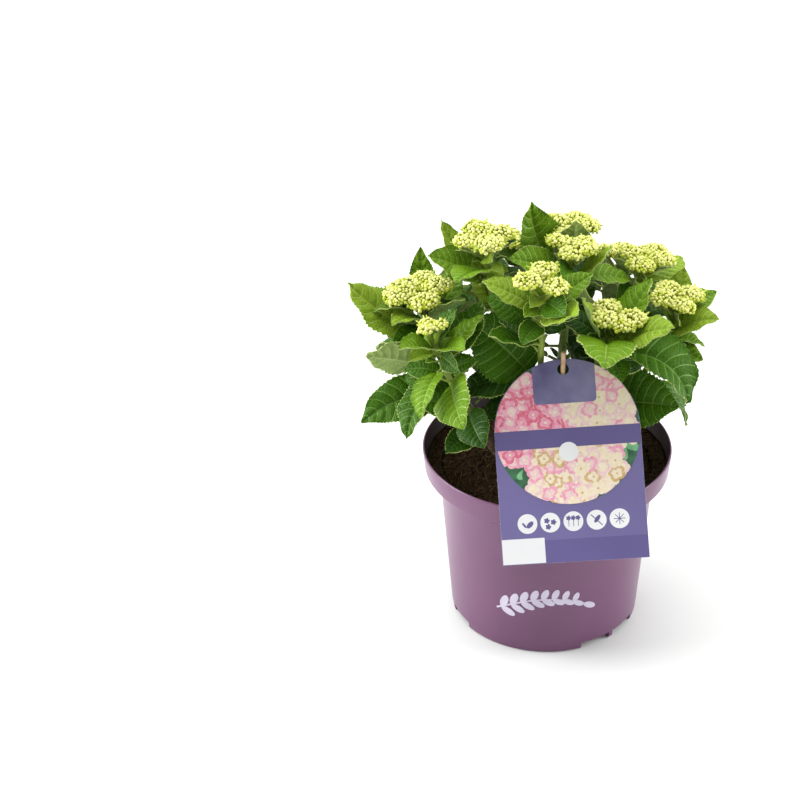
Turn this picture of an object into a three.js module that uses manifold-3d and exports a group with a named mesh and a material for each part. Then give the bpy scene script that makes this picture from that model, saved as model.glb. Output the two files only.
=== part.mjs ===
// A bigleaf hydrangea in bud, standing in a round nursery pot with a picture card hung on a thin stick.
// Sizes are in millimetres. +Z is up, +X is to the viewer's right and +Y points away from the viewer.
// The origin is the middle of the pot's flat underside.
import * as THREE from "three";
import { mergeVertices } from "three/addons/utils/BufferGeometryUtils.js";
import Module from "manifold-3d";

const wasm = await Module();
wasm.setup();

const GAP = 0.3; // between pieces that rest on each other
const SLIVER = 0.06; // edges shorter than this are closed where leaves join
const UP = new THREE.Vector3(0, 0, 1);

// The pot: a tapered wall under a wide, upright lip, on a flat base with feet between the drain arches.
const POT = {
  height: 144,
  rimRadius: 95,
  lipHeight: 18,
  lipUnderRadius: 93.4,
  neckRadius: 82.4, // of the wall where it meets the lip
  footRadius: 73,
  wall: 1.5,
  floor: 8,
  sides: 44,
};
const ARCH = { height: 6, depth: 9, reach: 20.5, rib: 1.5, pairs: 3, firstAt: -44 };

// The peat, mounded a little, from the pot's floor to the neck.
const SOIL = { top: 129, edge: 126.8, flatRadius: 58, sides: 30 };

// The card, with a round-arched top, leans back on the lip and hangs on the stick.
const CARD = {
  width: 105,
  length: 146,
  thick: 0.8,
  leanBack: 32,
  turnedBy: 5.1,
  holeAt: [10.6, 231.5], // x and height of the middle of the hole
  holeBelowTop: 7.5,
};
const STICK = { radius: 1.7, top: 245.5, sides: 8 };

// Each shoot has a woody foot on the peat, green growth above it and a flower head in bud on top.
// head: the middle of the flower head. wide: its width. lobes: the headings of its bud clusters.
// turn: the heading of the lowest leaf pair. blade: the longest leaf.
// Headings are in degrees: 0 is +X and 90 is away from the viewer.
const SHOOTS = [
  { name: "centre", head: [-5, -50, 307], wide: 43, lobes: [95, 200, 320], turn: 20, blade: 62 },
  { name: "low_right", head: [48, -46, 277], wide: 42, lobes: [130, 215, 290, 350], turn: 330, blade: 62 },
  { name: "low_left", head: [-83, -58, 273], wide: 25, lobes: [0, 120, 240], turn: 130, blade: 56 },
  { name: "left", head: [-95, -15, 279], wide: 52, lobes: [10, 80, 150, 210, 290], turn: 100, blade: 62 },
  { name: "upper_left", head: [-48, -5, 318], wide: 45, lobes: [20, 110, 185, 290], turn: 60, blade: 62 },
  { name: "upper", head: [15, 5, 308], wide: 40, lobes: [30, 150, 260, 330], turn: 10, blade: 57 },
  { name: "top", head: [14, 52, 301], wide: 46, lobes: [0, 70, 160, 270], turn: 170, blade: 60 },
  { name: "upper_right", head: [70, 25, 290], wide: 45, lobes: [350, 60, 150, 250], turn: 50, blade: 64 },
  { name: "right", head: [91, -12, 277], wide: 42, lobes: [30, 120, 200, 300], turn: 80, blade: 64 },
  { name: "back_left", head: [-62, 50, 284], wide: 44, lobes: [40, 130, 220, 310], turn: 120, blade: 72 },
  { name: "back", head: [-22, 88, 274], wide: 42, lobes: [20, 140, 260], turn: 95, blade: 72 },
  { name: "back_right", head: [54, 76, 270], wide: 42, lobes: [80, 190, 310], turn: 60, blade: 70 },
];
const FOOT_SHARE = 0.29; // of the way out to the head, where the foot stands
// These rise steeply behind the card, each from a foot of its own.
const STEEP = { centre: [-6, -12], low_right: [16, -12] };
const BOW = { out: 0.62, steep: 0.15, up: 0.42 }; // the shoot leans out first and then turns up
const HEAD_RISE = 13; // from the top of the shoot to the middle of the head
const HEAD_LEAN = 0.0015; // outward, for each millimetre from the pot's axis
const LOBE = { radius: 0.25, out: 0.27, flat: 0.5 }; // radius and out are shares of the head's width
const WOOD_SHARE = 0.34; // of the shoot, from the foot up
const WOOD = { foot: 5.2, low: 4.0, top: 3.2, sides: 6, steps: 4 };
const GREEN = { low: 2.8, top: 2.0, sides: 5, steps: 5 };

// The leaves that make the plant's outline and its face, each aimed at the place of its tip.
// at: where it leaves its shoot. wide: its width to its length. bend: how far it droops along the way.
// roll lifts its right edge, seen from the shoot.
const LEADERS = [
  { on: "left", at: 0.8, tip: [-146, -18, 287], wide: 0.58, roll: 22, bend: -25 },
  { on: "left", at: 0.78, tip: [-118, -34, 250], wide: 0.66, roll: 30, bend: 40 },
  { on: "left", at: 0.65, tip: [-131, -50, 244], wide: 0.6, roll: -62, bend: 5 },
  { on: "left", at: 0.45, tip: [-138, -34, 178], wide: 0.48, roll: 35, bend: 60 },
  { on: "left", at: 0.36, tip: [-82, -26, 184], wide: 0.66, roll: 25, bend: 30 },
  { on: "left", at: 0.85, tip: [-96, 24, 297], wide: 0.36, roll: 10, bend: -60 },
  { on: "left", at: 0.9, tip: [-68, 16, 288], wide: 0.55, roll: 0, bend: -50 },
  { on: "left", at: 0.9, tip: [-112, -48, 268], wide: 0.55, roll: 0, bend: 45 },
  { on: "left", at: 0.9, tip: [-60, -36, 284], wide: 0.55, roll: 10, bend: 10 },
  { on: "low_left", at: 0.93, tip: [-104, -80, 266], wide: 0.66, roll: 15, bend: 30 },
  { on: "low_left", at: 0.93, tip: [-58, -80, 266], wide: 0.66, roll: -15, bend: 30 },
  { on: "low_left", at: 0.55, tip: [-97, -64, 212], wide: 0.85, roll: 35, bend: 35 },
  { on: "low_left", at: 0.36, tip: [-74, -56, 167], wide: 0.7, roll: 25, bend: 40 },
  { on: "low_left", at: 0.85, tip: [-48, -24, 277], wide: 0.6, roll: 0, bend: -10 },
  { on: "upper_left", at: 0.9, tip: [-80, 12, 324], wide: 0.42, roll: 15, bend: -45 },
  { on: "upper_left", at: 0.88, tip: [-88, -16, 308], wide: 0.68, roll: 20, bend: 15 },
  { on: "upper_left", at: 0.92, tip: [-66, -46, 302], wide: 0.66, roll: 0, bend: 30 },
  { on: "upper_left", at: 0.72, tip: [-102, 12, 300], wide: 0.45, roll: 40, bend: 10 },
  { on: "centre", at: 0.92, tip: [-47, -36, 303], wide: 0.62, roll: 20, bend: 10 },
  { on: "centre", at: 0.92, tip: [30, -38, 307], wide: 0.64, roll: -15, bend: 0 },
  { on: "centre", at: 0.9, tip: [20, -84, 298], wide: 0.6, roll: -20, bend: -10 },
  { on: "centre", at: 0.5, tip: [-60, -22, 260], wide: 0.78, roll: 58, bend: 20 },
  { on: "centre", at: 0.75, tip: [-42, -74, 275], wide: 0.52, roll: 5, bend: -10 },
  { on: "centre", at: 0.7, tip: [-34, -44, 268], wide: 0.6, roll: 15, bend: 10 },
  { on: "low_right", at: 0.92, tip: [12, -64, 256], wide: 0.66, roll: 32, bend: 30 },
  { on: "low_right", at: 0.9, tip: [15, -70, 292], wide: 0.4, roll: 50, bend: -20 },
  { on: "low_right", at: 0.9, tip: [38, -106, 268], wide: 0.66, roll: 0, bend: 50 },
  { on: "low_right", at: 0.88, tip: [86, -74, 284], wide: 0.55, roll: -25, bend: 15 },
  { on: "low_right", at: 0.84, tip: [72, -22, 296], wide: 0.64, roll: 0, bend: -10 },
  { on: "low_right", at: 0.86, tip: [99, -54, 212], wide: 0.62, roll: -15, bend: 100 },
  { on: "low_right", at: 0.5, tip: [95, -48, 206], wide: 0.76, roll: -50, bend: 15 },
  { on: "right", at: 0.86, tip: [116, -36, 267], wide: 0.66, roll: -30, bend: 30 },
  { on: "right", at: 0.92, tip: [125, 0, 271], wide: 0.55, roll: -20, bend: 25 },
  { on: "right", at: 0.7, tip: [111, -32, 236], wide: 0.62, roll: -15, bend: 50 },
  { on: "right", at: 0.9, tip: [98, 22, 284], wide: 0.55, roll: 0, bend: -30 },
  { on: "upper", at: 0.92, tip: [-30, -14, 306], wide: 0.62, roll: 25, bend: 15 },
  { on: "upper", at: 0.92, tip: [44, -4, 312], wide: 0.55, roll: -15, bend: -25 },
  { on: "top", at: 0.82, tip: [-15, 42, 326], wide: 0.62, roll: 62, bend: -40 },
  { on: "top", at: 0.9, tip: [18, 22, 320], wide: 0.58, roll: 0, bend: -20 },
];

// Leaves stand in pairs up the shoot, each pair turned a quarter from the one below it.
const PAIRS = [
  { at: 0.37, size: 0.8, rise: 6, bend: 46 },
  { at: 0.45, size: 0.9, rise: 10, bend: 54 },
  { at: 0.54, size: 1, rise: 12, bend: 58 },
  { at: 0.64, size: 1, rise: 16, bend: 58 },
  { at: 0.75, size: 0.95, rise: 20, bend: 56 },
  { at: 0.85, size: 0.8, rise: 26, bend: 50 },
  { at: 0.92, size: 0.62, rise: 30, bend: 36 },
  { at: 0.97, size: 0.48, rise: 36, bend: 24 },
];
const LEAF = {
  wide: 0.64,
  petiole: 0.24, // its length, as a share of the blade's
  fold: 24,
  camber: 0.16,
  thick: 0.013, // of the blade's length
  sections: [0.2, 0.52, 0.84],
};
const PETIOLE = { wide: 1.5, thick: 1.3 };
const FACE_OUT = 36; // degrees by which a leaf that heads along the crown's side turns its face outwards
const SPREAD = { turn: 14, rise: 8, bend: 14, roll: 16, twist: 26, fold: 9, wide: 0.05, size: 0.09 };

// A leaf is tried in its own place first, and then turned, lifted or smaller: degrees, degrees, share.
const TRIES = [
  [0, 0, 1], [13, 0, 1], [-13, 0, 1], [0, 13, 1], [0, -13, 1], [24, 8, 0.92], [-24, 8, 0.92],
  [22, -12, 0.86], [-22, -12, 0.86], [0, 24, 0.8], [34, 0, 0.72], [-34, 0, 0.72], [0, -22, 0.62],
  [12, 34, 0.66], [-12, 34, 0.66], [44, 12, 0.58], [-44, 12, 0.58], [0, 0, 0.5],
];
const CELL = 2.2; // of the grid that keeps leaves apart
const SAMPLE = 1.4; // between the points that stand for a leaf in it
// The other leaves stay inside this oval, above this height, and out of the view of the card's face.
const CROWN = { middle: [-12, 12, 225], radii: [136, 134, 112], lowest: 176 };
const CARD_VIEW = 22; // from the top of the card, how far down leaves may hang before it
const OWN_TOUCH = 0.12; // the share of a leading leaf that may meet its own shoot's leaves and buds
const HOLE_VIEW = { side: 11, over: 16 }; // kept open round the hole and the tip of the stick

const rad = THREE.MathUtils.degToRad;
const mix = (a, b, share) => a + (b - a) * share;

let seed = 4711;
function draw() {
  seed = (seed * 16807) % 2147483647;
  return seed / 2147483647;
}
const around = (middle, reach) => middle + (2 * draw() - 1) * reach;

// The line of a shoot, as a curve from its foot on the peat to the base of its flower head.
function shootLine(shoot) {
  const head = new THREE.Vector3(...shoot.head);
  const axis = new THREE.Vector3(head.x * HEAD_LEAN, head.y * HEAD_LEAN, 1).normalize();
  const hub = head.clone().addScaledVector(axis, -HEAD_RISE);
  const steep = STEEP[shoot.name];
  const [x, y] = steep ?? [head.x * FOOT_SHARE, head.y * FOOT_SHARE];
  const foot = new THREE.Vector3(x, y, SOIL.top + GAP);
  const out = steep ? BOW.steep : BOW.out;
  const bend = new THREE.Vector3(
    mix(foot.x, hub.x, out),
    mix(foot.y, hub.y, out),
    mix(foot.z, hub.z, BOW.up),
  );
  return { axis, hub, curve: new THREE.QuadraticBezierCurve3(foot, bend, hub) };
}

// The half width of a blade, as a share of its greatest, from 0 at the petiole to 1 at the drawn-out tip.
function outline(along) {
  const full = 2.76 * Math.pow(along, 0.62) * Math.pow(1 - along, 0.88);
  return full * (1 - 0.35 * Math.pow(along, 8));
}

// The middle line of a leaf with its frames: petiole first, then the blade in even steps.
// It lies in the plane of two directions, out from the shoot and up, and droops by bend along the way.
const SPINE_STEPS = 16;
const PETIOLE_LIFT = 6; // degrees by which a petiole rises above the start of its blade
const droop = (leaf, along) => leaf.rise - leaf.bend * Math.pow(along, 1.2);
function spineOf(leaf) {
  const { root, out, up } = leaf;
  const side = new THREE.Vector3().crossVectors(out, up).normalize();
  const frameAt = (rise, roll) => {
    const [angle, turn] = [rad(rise), rad(roll)];
    const way = out.clone().multiplyScalar(Math.cos(angle)).addScaledVector(up, Math.sin(angle));
    const face = up.clone().multiplyScalar(Math.cos(angle)).addScaledVector(out, -Math.sin(angle));
    const wide = side.clone().multiplyScalar(Math.cos(turn)).addScaledVector(face, Math.sin(turn));
    const normal = face.multiplyScalar(Math.cos(turn)).addScaledVector(side, -Math.sin(turn));
    return { way, wide, normal };
  };
  const petiole = frameAt(leaf.rise + PETIOLE_LIFT, leaf.roll);
  const at = root.clone().addScaledVector(petiole.way, leaf.blade * LEAF.petiole);
  const frames = [{ at: at.clone(), ...frameAt(leaf.rise, leaf.roll) }];
  for (let step = 1; step <= SPINE_STEPS; step++) {
    const end = step / SPINE_STEPS;
    const { way } = frameAt(droop(leaf, end - 0.5 / SPINE_STEPS), 0);
    at.addScaledVector(way, leaf.blade / SPINE_STEPS);
    frames.push({ at: at.clone(), ...frameAt(droop(leaf, end), leaf.roll + leaf.twist * end) });
  }
  return { petiole, frames };
}

// The straight line from the root to the tip of a leaf that starts level: its length for each unit
// of blade, and its slope in degrees.
function chordOf(bend) {
  const flat = { rise: 0, bend };
  let out = LEAF.petiole * Math.cos(rad(PETIOLE_LIFT));
  let up = LEAF.petiole * Math.sin(rad(PETIOLE_LIFT));
  for (let step = 0; step < SPINE_STEPS; step++) {
    const angle = rad(droop(flat, (step + 0.5) / SPINE_STEPS));
    out += Math.cos(angle) / SPINE_STEPS;
    up += Math.sin(angle) / SPINE_STEPS;
  }
  return { length: Math.hypot(out, up), slope: THREE.MathUtils.radToDeg(Math.atan2(up, out)) };
}

// A point of the blade: along from 0 to 1, across from -1 to 1 between its edges.
function bladePoint(leaf, spine, along, across) {
  const place = Math.min(along, 0.99999) * SPINE_STEPS;
  const low = Math.floor(place);
  const share = place - low;
  const a = spine.frames[low];
  const b = spine.frames[low + 1];
  const half = leaf.blade * leaf.wide * 0.5 * outline(along);
  const fold = rad(leaf.fold * (1 - 0.4 * along));
  const reach = across * half;
  const lift = Math.abs(reach) * Math.sin(fold) - LEAF.camber * half * across * across;
  return a.at.clone().lerp(b.at, share)
    .addScaledVector(a.wide.clone().lerp(b.wide, share), reach * Math.cos(fold))
    .addScaledVector(a.normal.clone().lerp(b.normal, share), lift);
}

// The points that stand for a leaf when it is tested against its neighbours, the petiole's first.
function samples(leaf) {
  const spine = spineOf(leaf);
  const points = [];
  const clear = WOOD.foot; // of the leaf's own shoot
  const stalk = Math.ceil((leaf.blade * LEAF.petiole) / SAMPLE);
  for (let step = 1; step <= stalk; step++) {
    const point = leaf.root.clone().lerp(spine.frames[0].at, step / stalk);
    if (point.distanceTo(leaf.root) > clear) points.push(point);
  }
  const rows = Math.ceil(leaf.blade / SAMPLE);
  const columns = Math.ceil((leaf.blade * leaf.wide) / SAMPLE);
  for (let row = 1; row <= rows; row++)
    for (let column = 0; column <= columns; column++)
      points.push(bladePoint(leaf, spine, row / rows, (2 * column) / columns - 1));
  return points;
}

// The card's own frame: the way up along it, across it and out of its face, with its foot and its hole.
// It leans back on the pot's lip, and the upright stick goes through the middle of the hole.
function cardFrame() {
  const back = rad(CARD.leanBack);
  const face = new THREE.Vector3(0, -Math.cos(back), Math.sin(back));
  const turn = new THREE.Quaternion().setFromAxisAngle(face, rad(CARD.turnedBy));
  const up = new THREE.Vector3(0, Math.sin(back), Math.cos(back)).applyQuaternion(turn);
  const across = new THREE.Vector3(1, 0, 0).applyQuaternion(turn);
  const lip = new THREE.Vector3(0, -POT.rimRadius, POT.height);
  const forward = face.dot(lip) + GAP + CARD.thick / 2;
  const [x, height] = CARD.holeAt;
  const hole = new THREE.Vector3(x, (face.z * height - forward) / Math.cos(back), height);
  const foot = hole.clone().addScaledVector(up, CARD.holeBelowTop - CARD.length);
  // The hole just lets the stick pass at a slant.
  const holeRadius = STICK.radius / Math.sin(back) + CARD.thick / 2 / Math.tan(back) + GAP;
  return { up, across, face, foot, hole, holeRadius };
}
const card = cardFrame();

// The cells that are taken. near holds the number of the shoot whose leaf, head or stem is in a cell
// or beside it, or SHARED; inside and stems hold only the cells that are really in a leaf or near a stem.
const GRID = { side: 184, half: 200 };
const SHARED = 255;
const near = new Uint8Array(GRID.side ** 3);
const inside = new Uint8Array(GRID.side ** 3);
const stems = new Uint8Array(GRID.side ** 3);
const cellOf = (x, y, z) => (z * GRID.side + y) * GRID.side + x;
function cellAt(point) {
  const x = Math.floor((point.x + GRID.half) / CELL);
  const y = Math.floor((point.y + GRID.half) / CELL);
  return [x, y, Math.floor(point.z / CELL)];
}
function markNear(layer, point, owner) {
  const [x, y, z] = cellAt(point);
  for (let dz = -1; dz <= 1; dz++)
    for (let dy = -1; dy <= 1; dy++)
      for (let dx = -1; dx <= 1; dx++) {
        const cell = cellOf(x + dx, y + dy, z + dz);
        layer[cell] = layer[cell] && layer[cell] !== owner ? SHARED : owner;
      }
}
function take(point, owner) {
  markNear(near, point, owner);
  inside[cellOf(...cellAt(point))] = 1;
}

// True where a leaf's point would meet the pot, the peat, the card or its stick.
const AIR = 4; // kept between a leaf's points and these
function meetsPot(point) {
  const radius = Math.hypot(point.x, point.y);
  if (radius < POT.neckRadius - AIR) return point.z < SOIL.top + AIR;
  return radius < POT.rimRadius + AIR && point.z < POT.height + AIR;
}
function meetsCard(point) {
  const fromStick = Math.hypot(point.x - card.hole.x, point.y - card.hole.y);
  if (fromStick < STICK.radius + AIR && point.z < STICK.top + AIR) return true;
  const inCard = point.clone().sub(card.foot);
  const before = inCard.dot(card.face);
  const height = inCard.dot(card.up);
  const aside = Math.abs(inCard.dot(card.across));
  if (before < -AIR || height < -AIR) return false;
  if (aside < HOLE_VIEW.side && height < CARD.length + HOLE_VIEW.over) return true;
  if (aside > CARD.width / 2 + AIR || height > CARD.length + AIR) return false;
  return before < AIR || height < CARD.length - CARD_VIEW;
}
function leavesCrown(point) {
  if (point.z < CROWN.lowest) return true;
  const [x, y, z] = CROWN.middle;
  const [wide, deep, tall] = CROWN.radii;
  return Math.hypot((point.x - x) / wide, (point.y - y) / deep, (point.z - z) / tall) > 1;
}

function fits(leaf, points, owner) {
  let crossings = 0;
  for (const point of points) {
    if (meetsPot(point) || meetsCard(point)) return false;
    if (!leaf.leads && leavesCrown(point)) return false;
    const cell = cellOf(...cellAt(point));
    if ([near, stems].some((layer) => layer[cell] && layer[cell] !== owner)) return false;
    if (inside[cell]) crossings++;
  }
  return crossings <= (leaf.leads ? OWN_TOUCH * points.length : 0);
}

// The bud clusters of a flower head: the middle and the radius of each.
function lobesOf(shoot, line) {
  const east = new THREE.Vector3().crossVectors(new THREE.Vector3(0, 1, 0), line.axis).normalize();
  const north = new THREE.Vector3().crossVectors(line.axis, east);
  return shoot.lobes.map((heading) => {
    const turn = rad(heading + around(0, 8));
    const out = shoot.wide * LOBE.out;
    const at = line.hub.clone()
      .addScaledVector(line.axis, HEAD_RISE + around(0, 2))
      .addScaledVector(east, Math.cos(turn) * out)
      .addScaledVector(north, Math.sin(turn) * out);
    return { at, radius: shoot.wide * LOBE.radius * around(1, 0.07) };
  });
}

function markHead(plant) {
  const step = 0.25;
  for (const { at, radius } of plant.lobes)
    for (let x = -1; x <= 1; x += step)
      for (let y = -1; y <= 1; y += step)
        for (let z = -1; z <= 1; z += step)
          if (Math.hypot(x, y, z) <= 1) {
            const inLobe = new THREE.Vector3(x, y, z * LOBE.flat).multiplyScalar(radius);
            take(inLobe.add(at), plant.owner);
          }
}

// Where every shoot, head and leaf of the plant goes.
function growPlant() {
  const plants = SHOOTS.map((shoot, index) => {
    const line = shootLine(shoot);
    return { shoot, owner: index + 1, line, lobes: lobesOf(shoot, line), leaves: [] };
  });
  const steps = 120;
  for (const plant of plants) {
    for (let step = 0; step <= steps; step++)
      markNear(stems, plant.line.curve.getPoint(step / steps), plant.owner);
    markHead(plant);
  }
  for (const leader of LEADERS) {
    const plant = plants.find(({ shoot }) => shoot.name === leader.on);
    const root = plant.line.curve.getPoint(leader.at);
    const span = new THREE.Vector3(...leader.tip).sub(root);
    const chord = chordOf(leader.bend);
    const slope = THREE.MathUtils.radToDeg(Math.atan2(span.z, Math.hypot(span.x, span.y)));
    placeLeaf(plant, leader.at, {
      ...leader,
      leads: true,
      turn: THREE.MathUtils.radToDeg(Math.atan2(span.y, span.x)),
      rise: slope - chord.slope,
      twist: around(0, SPREAD.twist * 0.5),
      fold: LEAF.fold + around(0, SPREAD.fold),
      blade: span.length() / chord.length,
    });
  }
  // The top pairs come first, because more of them shows.
  for (let level = PAIRS.length - 1; level >= 0; level--)
    for (const plant of plants)
      for (const opposite of [0, 180]) {
        const pair = PAIRS[level];
        placeLeaf(plant, pair.at, {
          turn: plant.shoot.turn + 90 * level + opposite + around(0, SPREAD.turn),
          rise: pair.rise + around(0, SPREAD.rise),
          bend: pair.bend + around(0, SPREAD.bend),
          roll: around(0, SPREAD.roll),
          twist: around(0, SPREAD.twist),
          fold: LEAF.fold + around(0, SPREAD.fold),
          wide: LEAF.wide + around(0, SPREAD.wide),
          blade: plant.shoot.blade * pair.size * around(1, SPREAD.size),
        });
      }
  return plants;
}

// How much the right side of a leaf is on the outside of the crown, from -1 to 1.
function outwardness(root, out, up) {
  const side = new THREE.Vector3().crossVectors(out, up);
  return (side.x * root.x + side.y * root.y) / Math.hypot(root.x, root.y);
}

function placeLeaf(plant, at, wish) {
  const root = plant.line.curve.getPoint(at);
  const up = wish.leads ? UP : plant.line.curve.getTangent(at);
  for (const [turned, lifted, scaled] of TRIES) {
    const heading = rad(wish.turn + turned);
    const out = new THREE.Vector3(Math.cos(heading), Math.sin(heading), 0);
    out.addScaledVector(up, -out.dot(up)).normalize();
    const roll = wish.leads ? wish.roll : wish.roll - FACE_OUT * outwardness(root, out, up);
    const [rise, blade] = [wish.rise + lifted, wish.blade * scaled];
    const leaf = { ...wish, root, out, up, roll, rise, blade };
    const points = samples(leaf);
    if (!fits(leaf, points, plant.owner)) continue;
    for (const point of points) take(point, plant.owner);
    plant.leaves.push(leaf);
    return;
  }
}

// Solids

function solidOf(geometry) {
  const bare = geometry.clone();
  for (const name of Object.keys(bare.attributes)) if (name !== "position") bare.deleteAttribute(name);
  const merged = mergeVertices(bare, 1e-4);
  return new wasm.Manifold(new wasm.Mesh({
    numProp: 3,
    vertProperties: new Float32Array(merged.attributes.position.array),
    triVerts: new Uint32Array(merged.index.array),
  }));
}

function geometryOf(solid) {
  const mesh = solid.getMesh();
  return new THREE.BufferGeometry()
    .setAttribute("position", new THREE.BufferAttribute(new Float32Array(mesh.vertProperties), 3))
    .setIndex(new THREE.BufferAttribute(new Uint32Array(mesh.triVerts), 1));
}

// Moves every vertex of an upright cylinder or cone of height 1 to place(along, side, up).
function reshape(geometry, place) {
  const bare = geometry.clone();
  for (const name of Object.keys(bare.attributes)) if (name !== "position") bare.deleteAttribute(name);
  const merged = mergeVertices(bare, 1e-4);
  const position = merged.attributes.position;
  for (let i = 0; i < position.count; i++) {
    const side = position.getX(i);
    const up = position.getZ(i);
    const size = Math.hypot(side, up);
    const onAxis = size < 1e-6;
    const moved = place(position.getY(i) + 0.5, onAxis ? 0 : side / size, onAxis ? 0 : up / size);
    position.setXYZ(i, moved.x, moved.y, moved.z);
  }
  return merged;
}

// A round limb that tapers along a stretch of a curve.
function limb(curve, from, to, radiusAt, sides, steps) {
  const tube = new THREE.CylinderGeometry(1, 1, 1, sides, steps);
  return reshape(tube, (along, side, up) => {
    const share = mix(from, to, along);
    const tangent = curve.getTangent(share);
    const first = new THREE.Vector3().crossVectors(new THREE.Vector3(0, 1, 0), tangent).normalize();
    const second = new THREE.Vector3().crossVectors(tangent, first);
    return curve.getPoint(share)
      .addScaledVector(first, side * radiusAt(along))
      .addScaledVector(second, -up * radiusAt(along));
  });
}

// The old wood of a shoot: flared at its flat foot on the peat.
function woodOf(line) {
  const flare = WOOD.foot - WOOD.low;
  const radiusAt = (along) => mix(WOOD.low, WOOD.top, along) + flare * Math.pow(1 - along, 6);
  const wood = limb(line.curve, 0, WOOD_SHARE, radiusAt, WOOD.sides, WOOD.steps);
  const flat = SOIL.top + GAP;
  const position = wood.attributes.position;
  for (let i = 0; i < position.count; i++)
    if (position.getZ(i) < flat + WOOD.foot * 0.9) position.setZ(i, flat);
  return wood;
}

// Turns every second strip's diagonals, so that the back of a four-sided cone is split like its face.
// A thin blade that is folded or twisted then never crosses itself.
function matchDiagonals(cone) {
  const { position } = cone.attributes;
  const index = cone.index.array;
  for (let i = 0; i + 5 < index.length; i += 3) {
    const [a, b, d, e, c, f] = index.slice(i, i + 6);
    const isQuad = e === b && f === d;
    const startsAtSide = Math.abs(position.getX(a)) > Math.abs(position.getZ(a));
    if (isQuad && startsAtSide) index.set([a, b, c, a, c, d], i);
  }
  return cone;
}

// A leaf on its petiole: a thin, folded body of four-cornered sections that ends in a point.
function leafSolid(leaf) {
  const spine = spineOf(leaf);
  const thick = Math.max(0.8, leaf.blade * LEAF.thick);
  const stations = [-2, 0, ...LEAF.sections, 1];
  const cone = matchDiagonals(new THREE.ConeGeometry(1, 1, 4, stations.length - 1));
  return reshape(cone, (along, side, up) => {
    const station = stations[Math.round(along * (stations.length - 1))];
    if (station <= 0) {
      const { wide, normal } = spine.petiole;
      const at = station < 0 ? leaf.root.clone() : spine.frames[0].at.clone();
      return at.addScaledVector(wide, side * PETIOLE.wide).addScaledVector(normal, up * PETIOLE.thick);
    }
    if (station === 1) return bladePoint(leaf, spine, 1, 0);
    const point = bladePoint(leaf, spine, station, side);
    const frame = spine.frames[Math.min(SPINE_STEPS, Math.round(station * SPINE_STEPS))];
    return point.addScaledVector(frame.normal, up * thick * 0.5);
  });
}

// A flower head in bud: a cushion for each cluster, on its own stalk from the top of the shoot.
function headSolids(line, lobes) {
  const facing = new THREE.Quaternion().setFromUnitVectors(UP, line.axis);
  return lobes.flatMap(({ at, radius }, index) => {
    const foot = line.hub.clone().addScaledVector(line.axis, -4 - index); // each from its own height
    const cushion = new THREE.IcosahedronGeometry(radius * 1.08, 0);
    cushion.scale(1, 1, LOBE.flat).applyQuaternion(facing).translate(at.x, at.y, at.z);
    const stalk = limb(new THREE.LineCurve3(foot, at), 0, 1, (along) => mix(1.9, 1.5, along), 3, 1);
    return [cushion, stalk];
  });
}

function foliageOf(plant) {
  const { line } = plant;
  const start = WOOD_SHARE + GAP / line.curve.getLength();
  const pieces = [
    limb(line.curve, start, 1, (along) => mix(GREEN.low, GREEN.top, along), GREEN.sides, GREEN.steps),
    ...plant.leaves.map(leafSolid),
    ...headSolids(line, plant.lobes),
  ];
  const joined = wasm.Manifold.union(pieces.map(solidOf)).simplify(SLIVER);
  const [largest] = joined.decompose().sort((a, b) => b.volume() - a.volume());
  return geometryOf(largest);
}

// Turns a profile of [radius, height] round the upright axis.
function turned(profile, sides) {
  const lathe = new THREE.LatheGeometry(profile.map(([r, z]) => new THREE.Vector2(r, z)), sides);
  return lathe.rotateX(Math.PI / 2);
}

function potSolid() {
  const neck = POT.height - POT.lipHeight;
  const inside = POT.neckRadius - POT.wall;
  const profile = [
    [0, 0],
    [POT.footRadius - 1.2, 0],
    [POT.footRadius, 1.2],
    [POT.neckRadius, neck - 1.8],
    [POT.lipUnderRadius - 1.6, neck - 0.4],
    [POT.lipUnderRadius, neck + 1.2],
    [POT.rimRadius, POT.height - 1],
    [POT.rimRadius - 0.5, POT.height],
    [POT.rimRadius - POT.wall, POT.height],
    [POT.lipUnderRadius - POT.wall - 0.6, neck + 3],
    [inside, neck + 1],
    [POT.footRadius - POT.wall, POT.floor],
    [0, POT.floor],
  ];
  let pot = solidOf(turned(profile, POT.sides));
  for (let pair = 0; pair < ARCH.pairs; pair++)
    for (const side of [-1, 1]) {
      const middle = ARCH.firstAt + (360 / ARCH.pairs) * pair;
      const near = rad(middle + side * ARCH.rib);
      const far = rad(middle + side * (ARCH.rib + ARCH.reach));
      pot = pot.subtract(solidOf(archCutter(Math.min(near, far), Math.max(near, far))));
    }
  return geometryOf(pot);
}

function extruded(shape, depth, curveSegments) {
  return new THREE.ExtrudeGeometry(shape, { depth, bevelEnabled: false, curveSegments });
}

// A block that runs round the foot between two headings.
function archCutter(from, to) {
  const inner = POT.footRadius - ARCH.depth;
  const outer = POT.footRadius + 5;
  const shape = new THREE.Shape()
    .absarc(0, 0, outer, from, to, false)
    .absarc(0, 0, inner, to, from, true);
  return extruded(shape, ARCH.height + 2, 4).translate(0, 0, -2);
}

function soilSolid() {
  const low = POT.floor + GAP;
  const neckInside = POT.neckRadius - POT.wall;
  const footInside = POT.footRadius - POT.wall;
  const topEdge = neckInside - 1;
  return turned([
    [0, low],
    [footInside - 1, low],
    [topEdge, SOIL.edge - 2],
    [topEdge - 2, SOIL.edge],
    [SOIL.flatRadius, SOIL.top],
    [0, SOIL.top],
  ], SOIL.sides);
}

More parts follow.
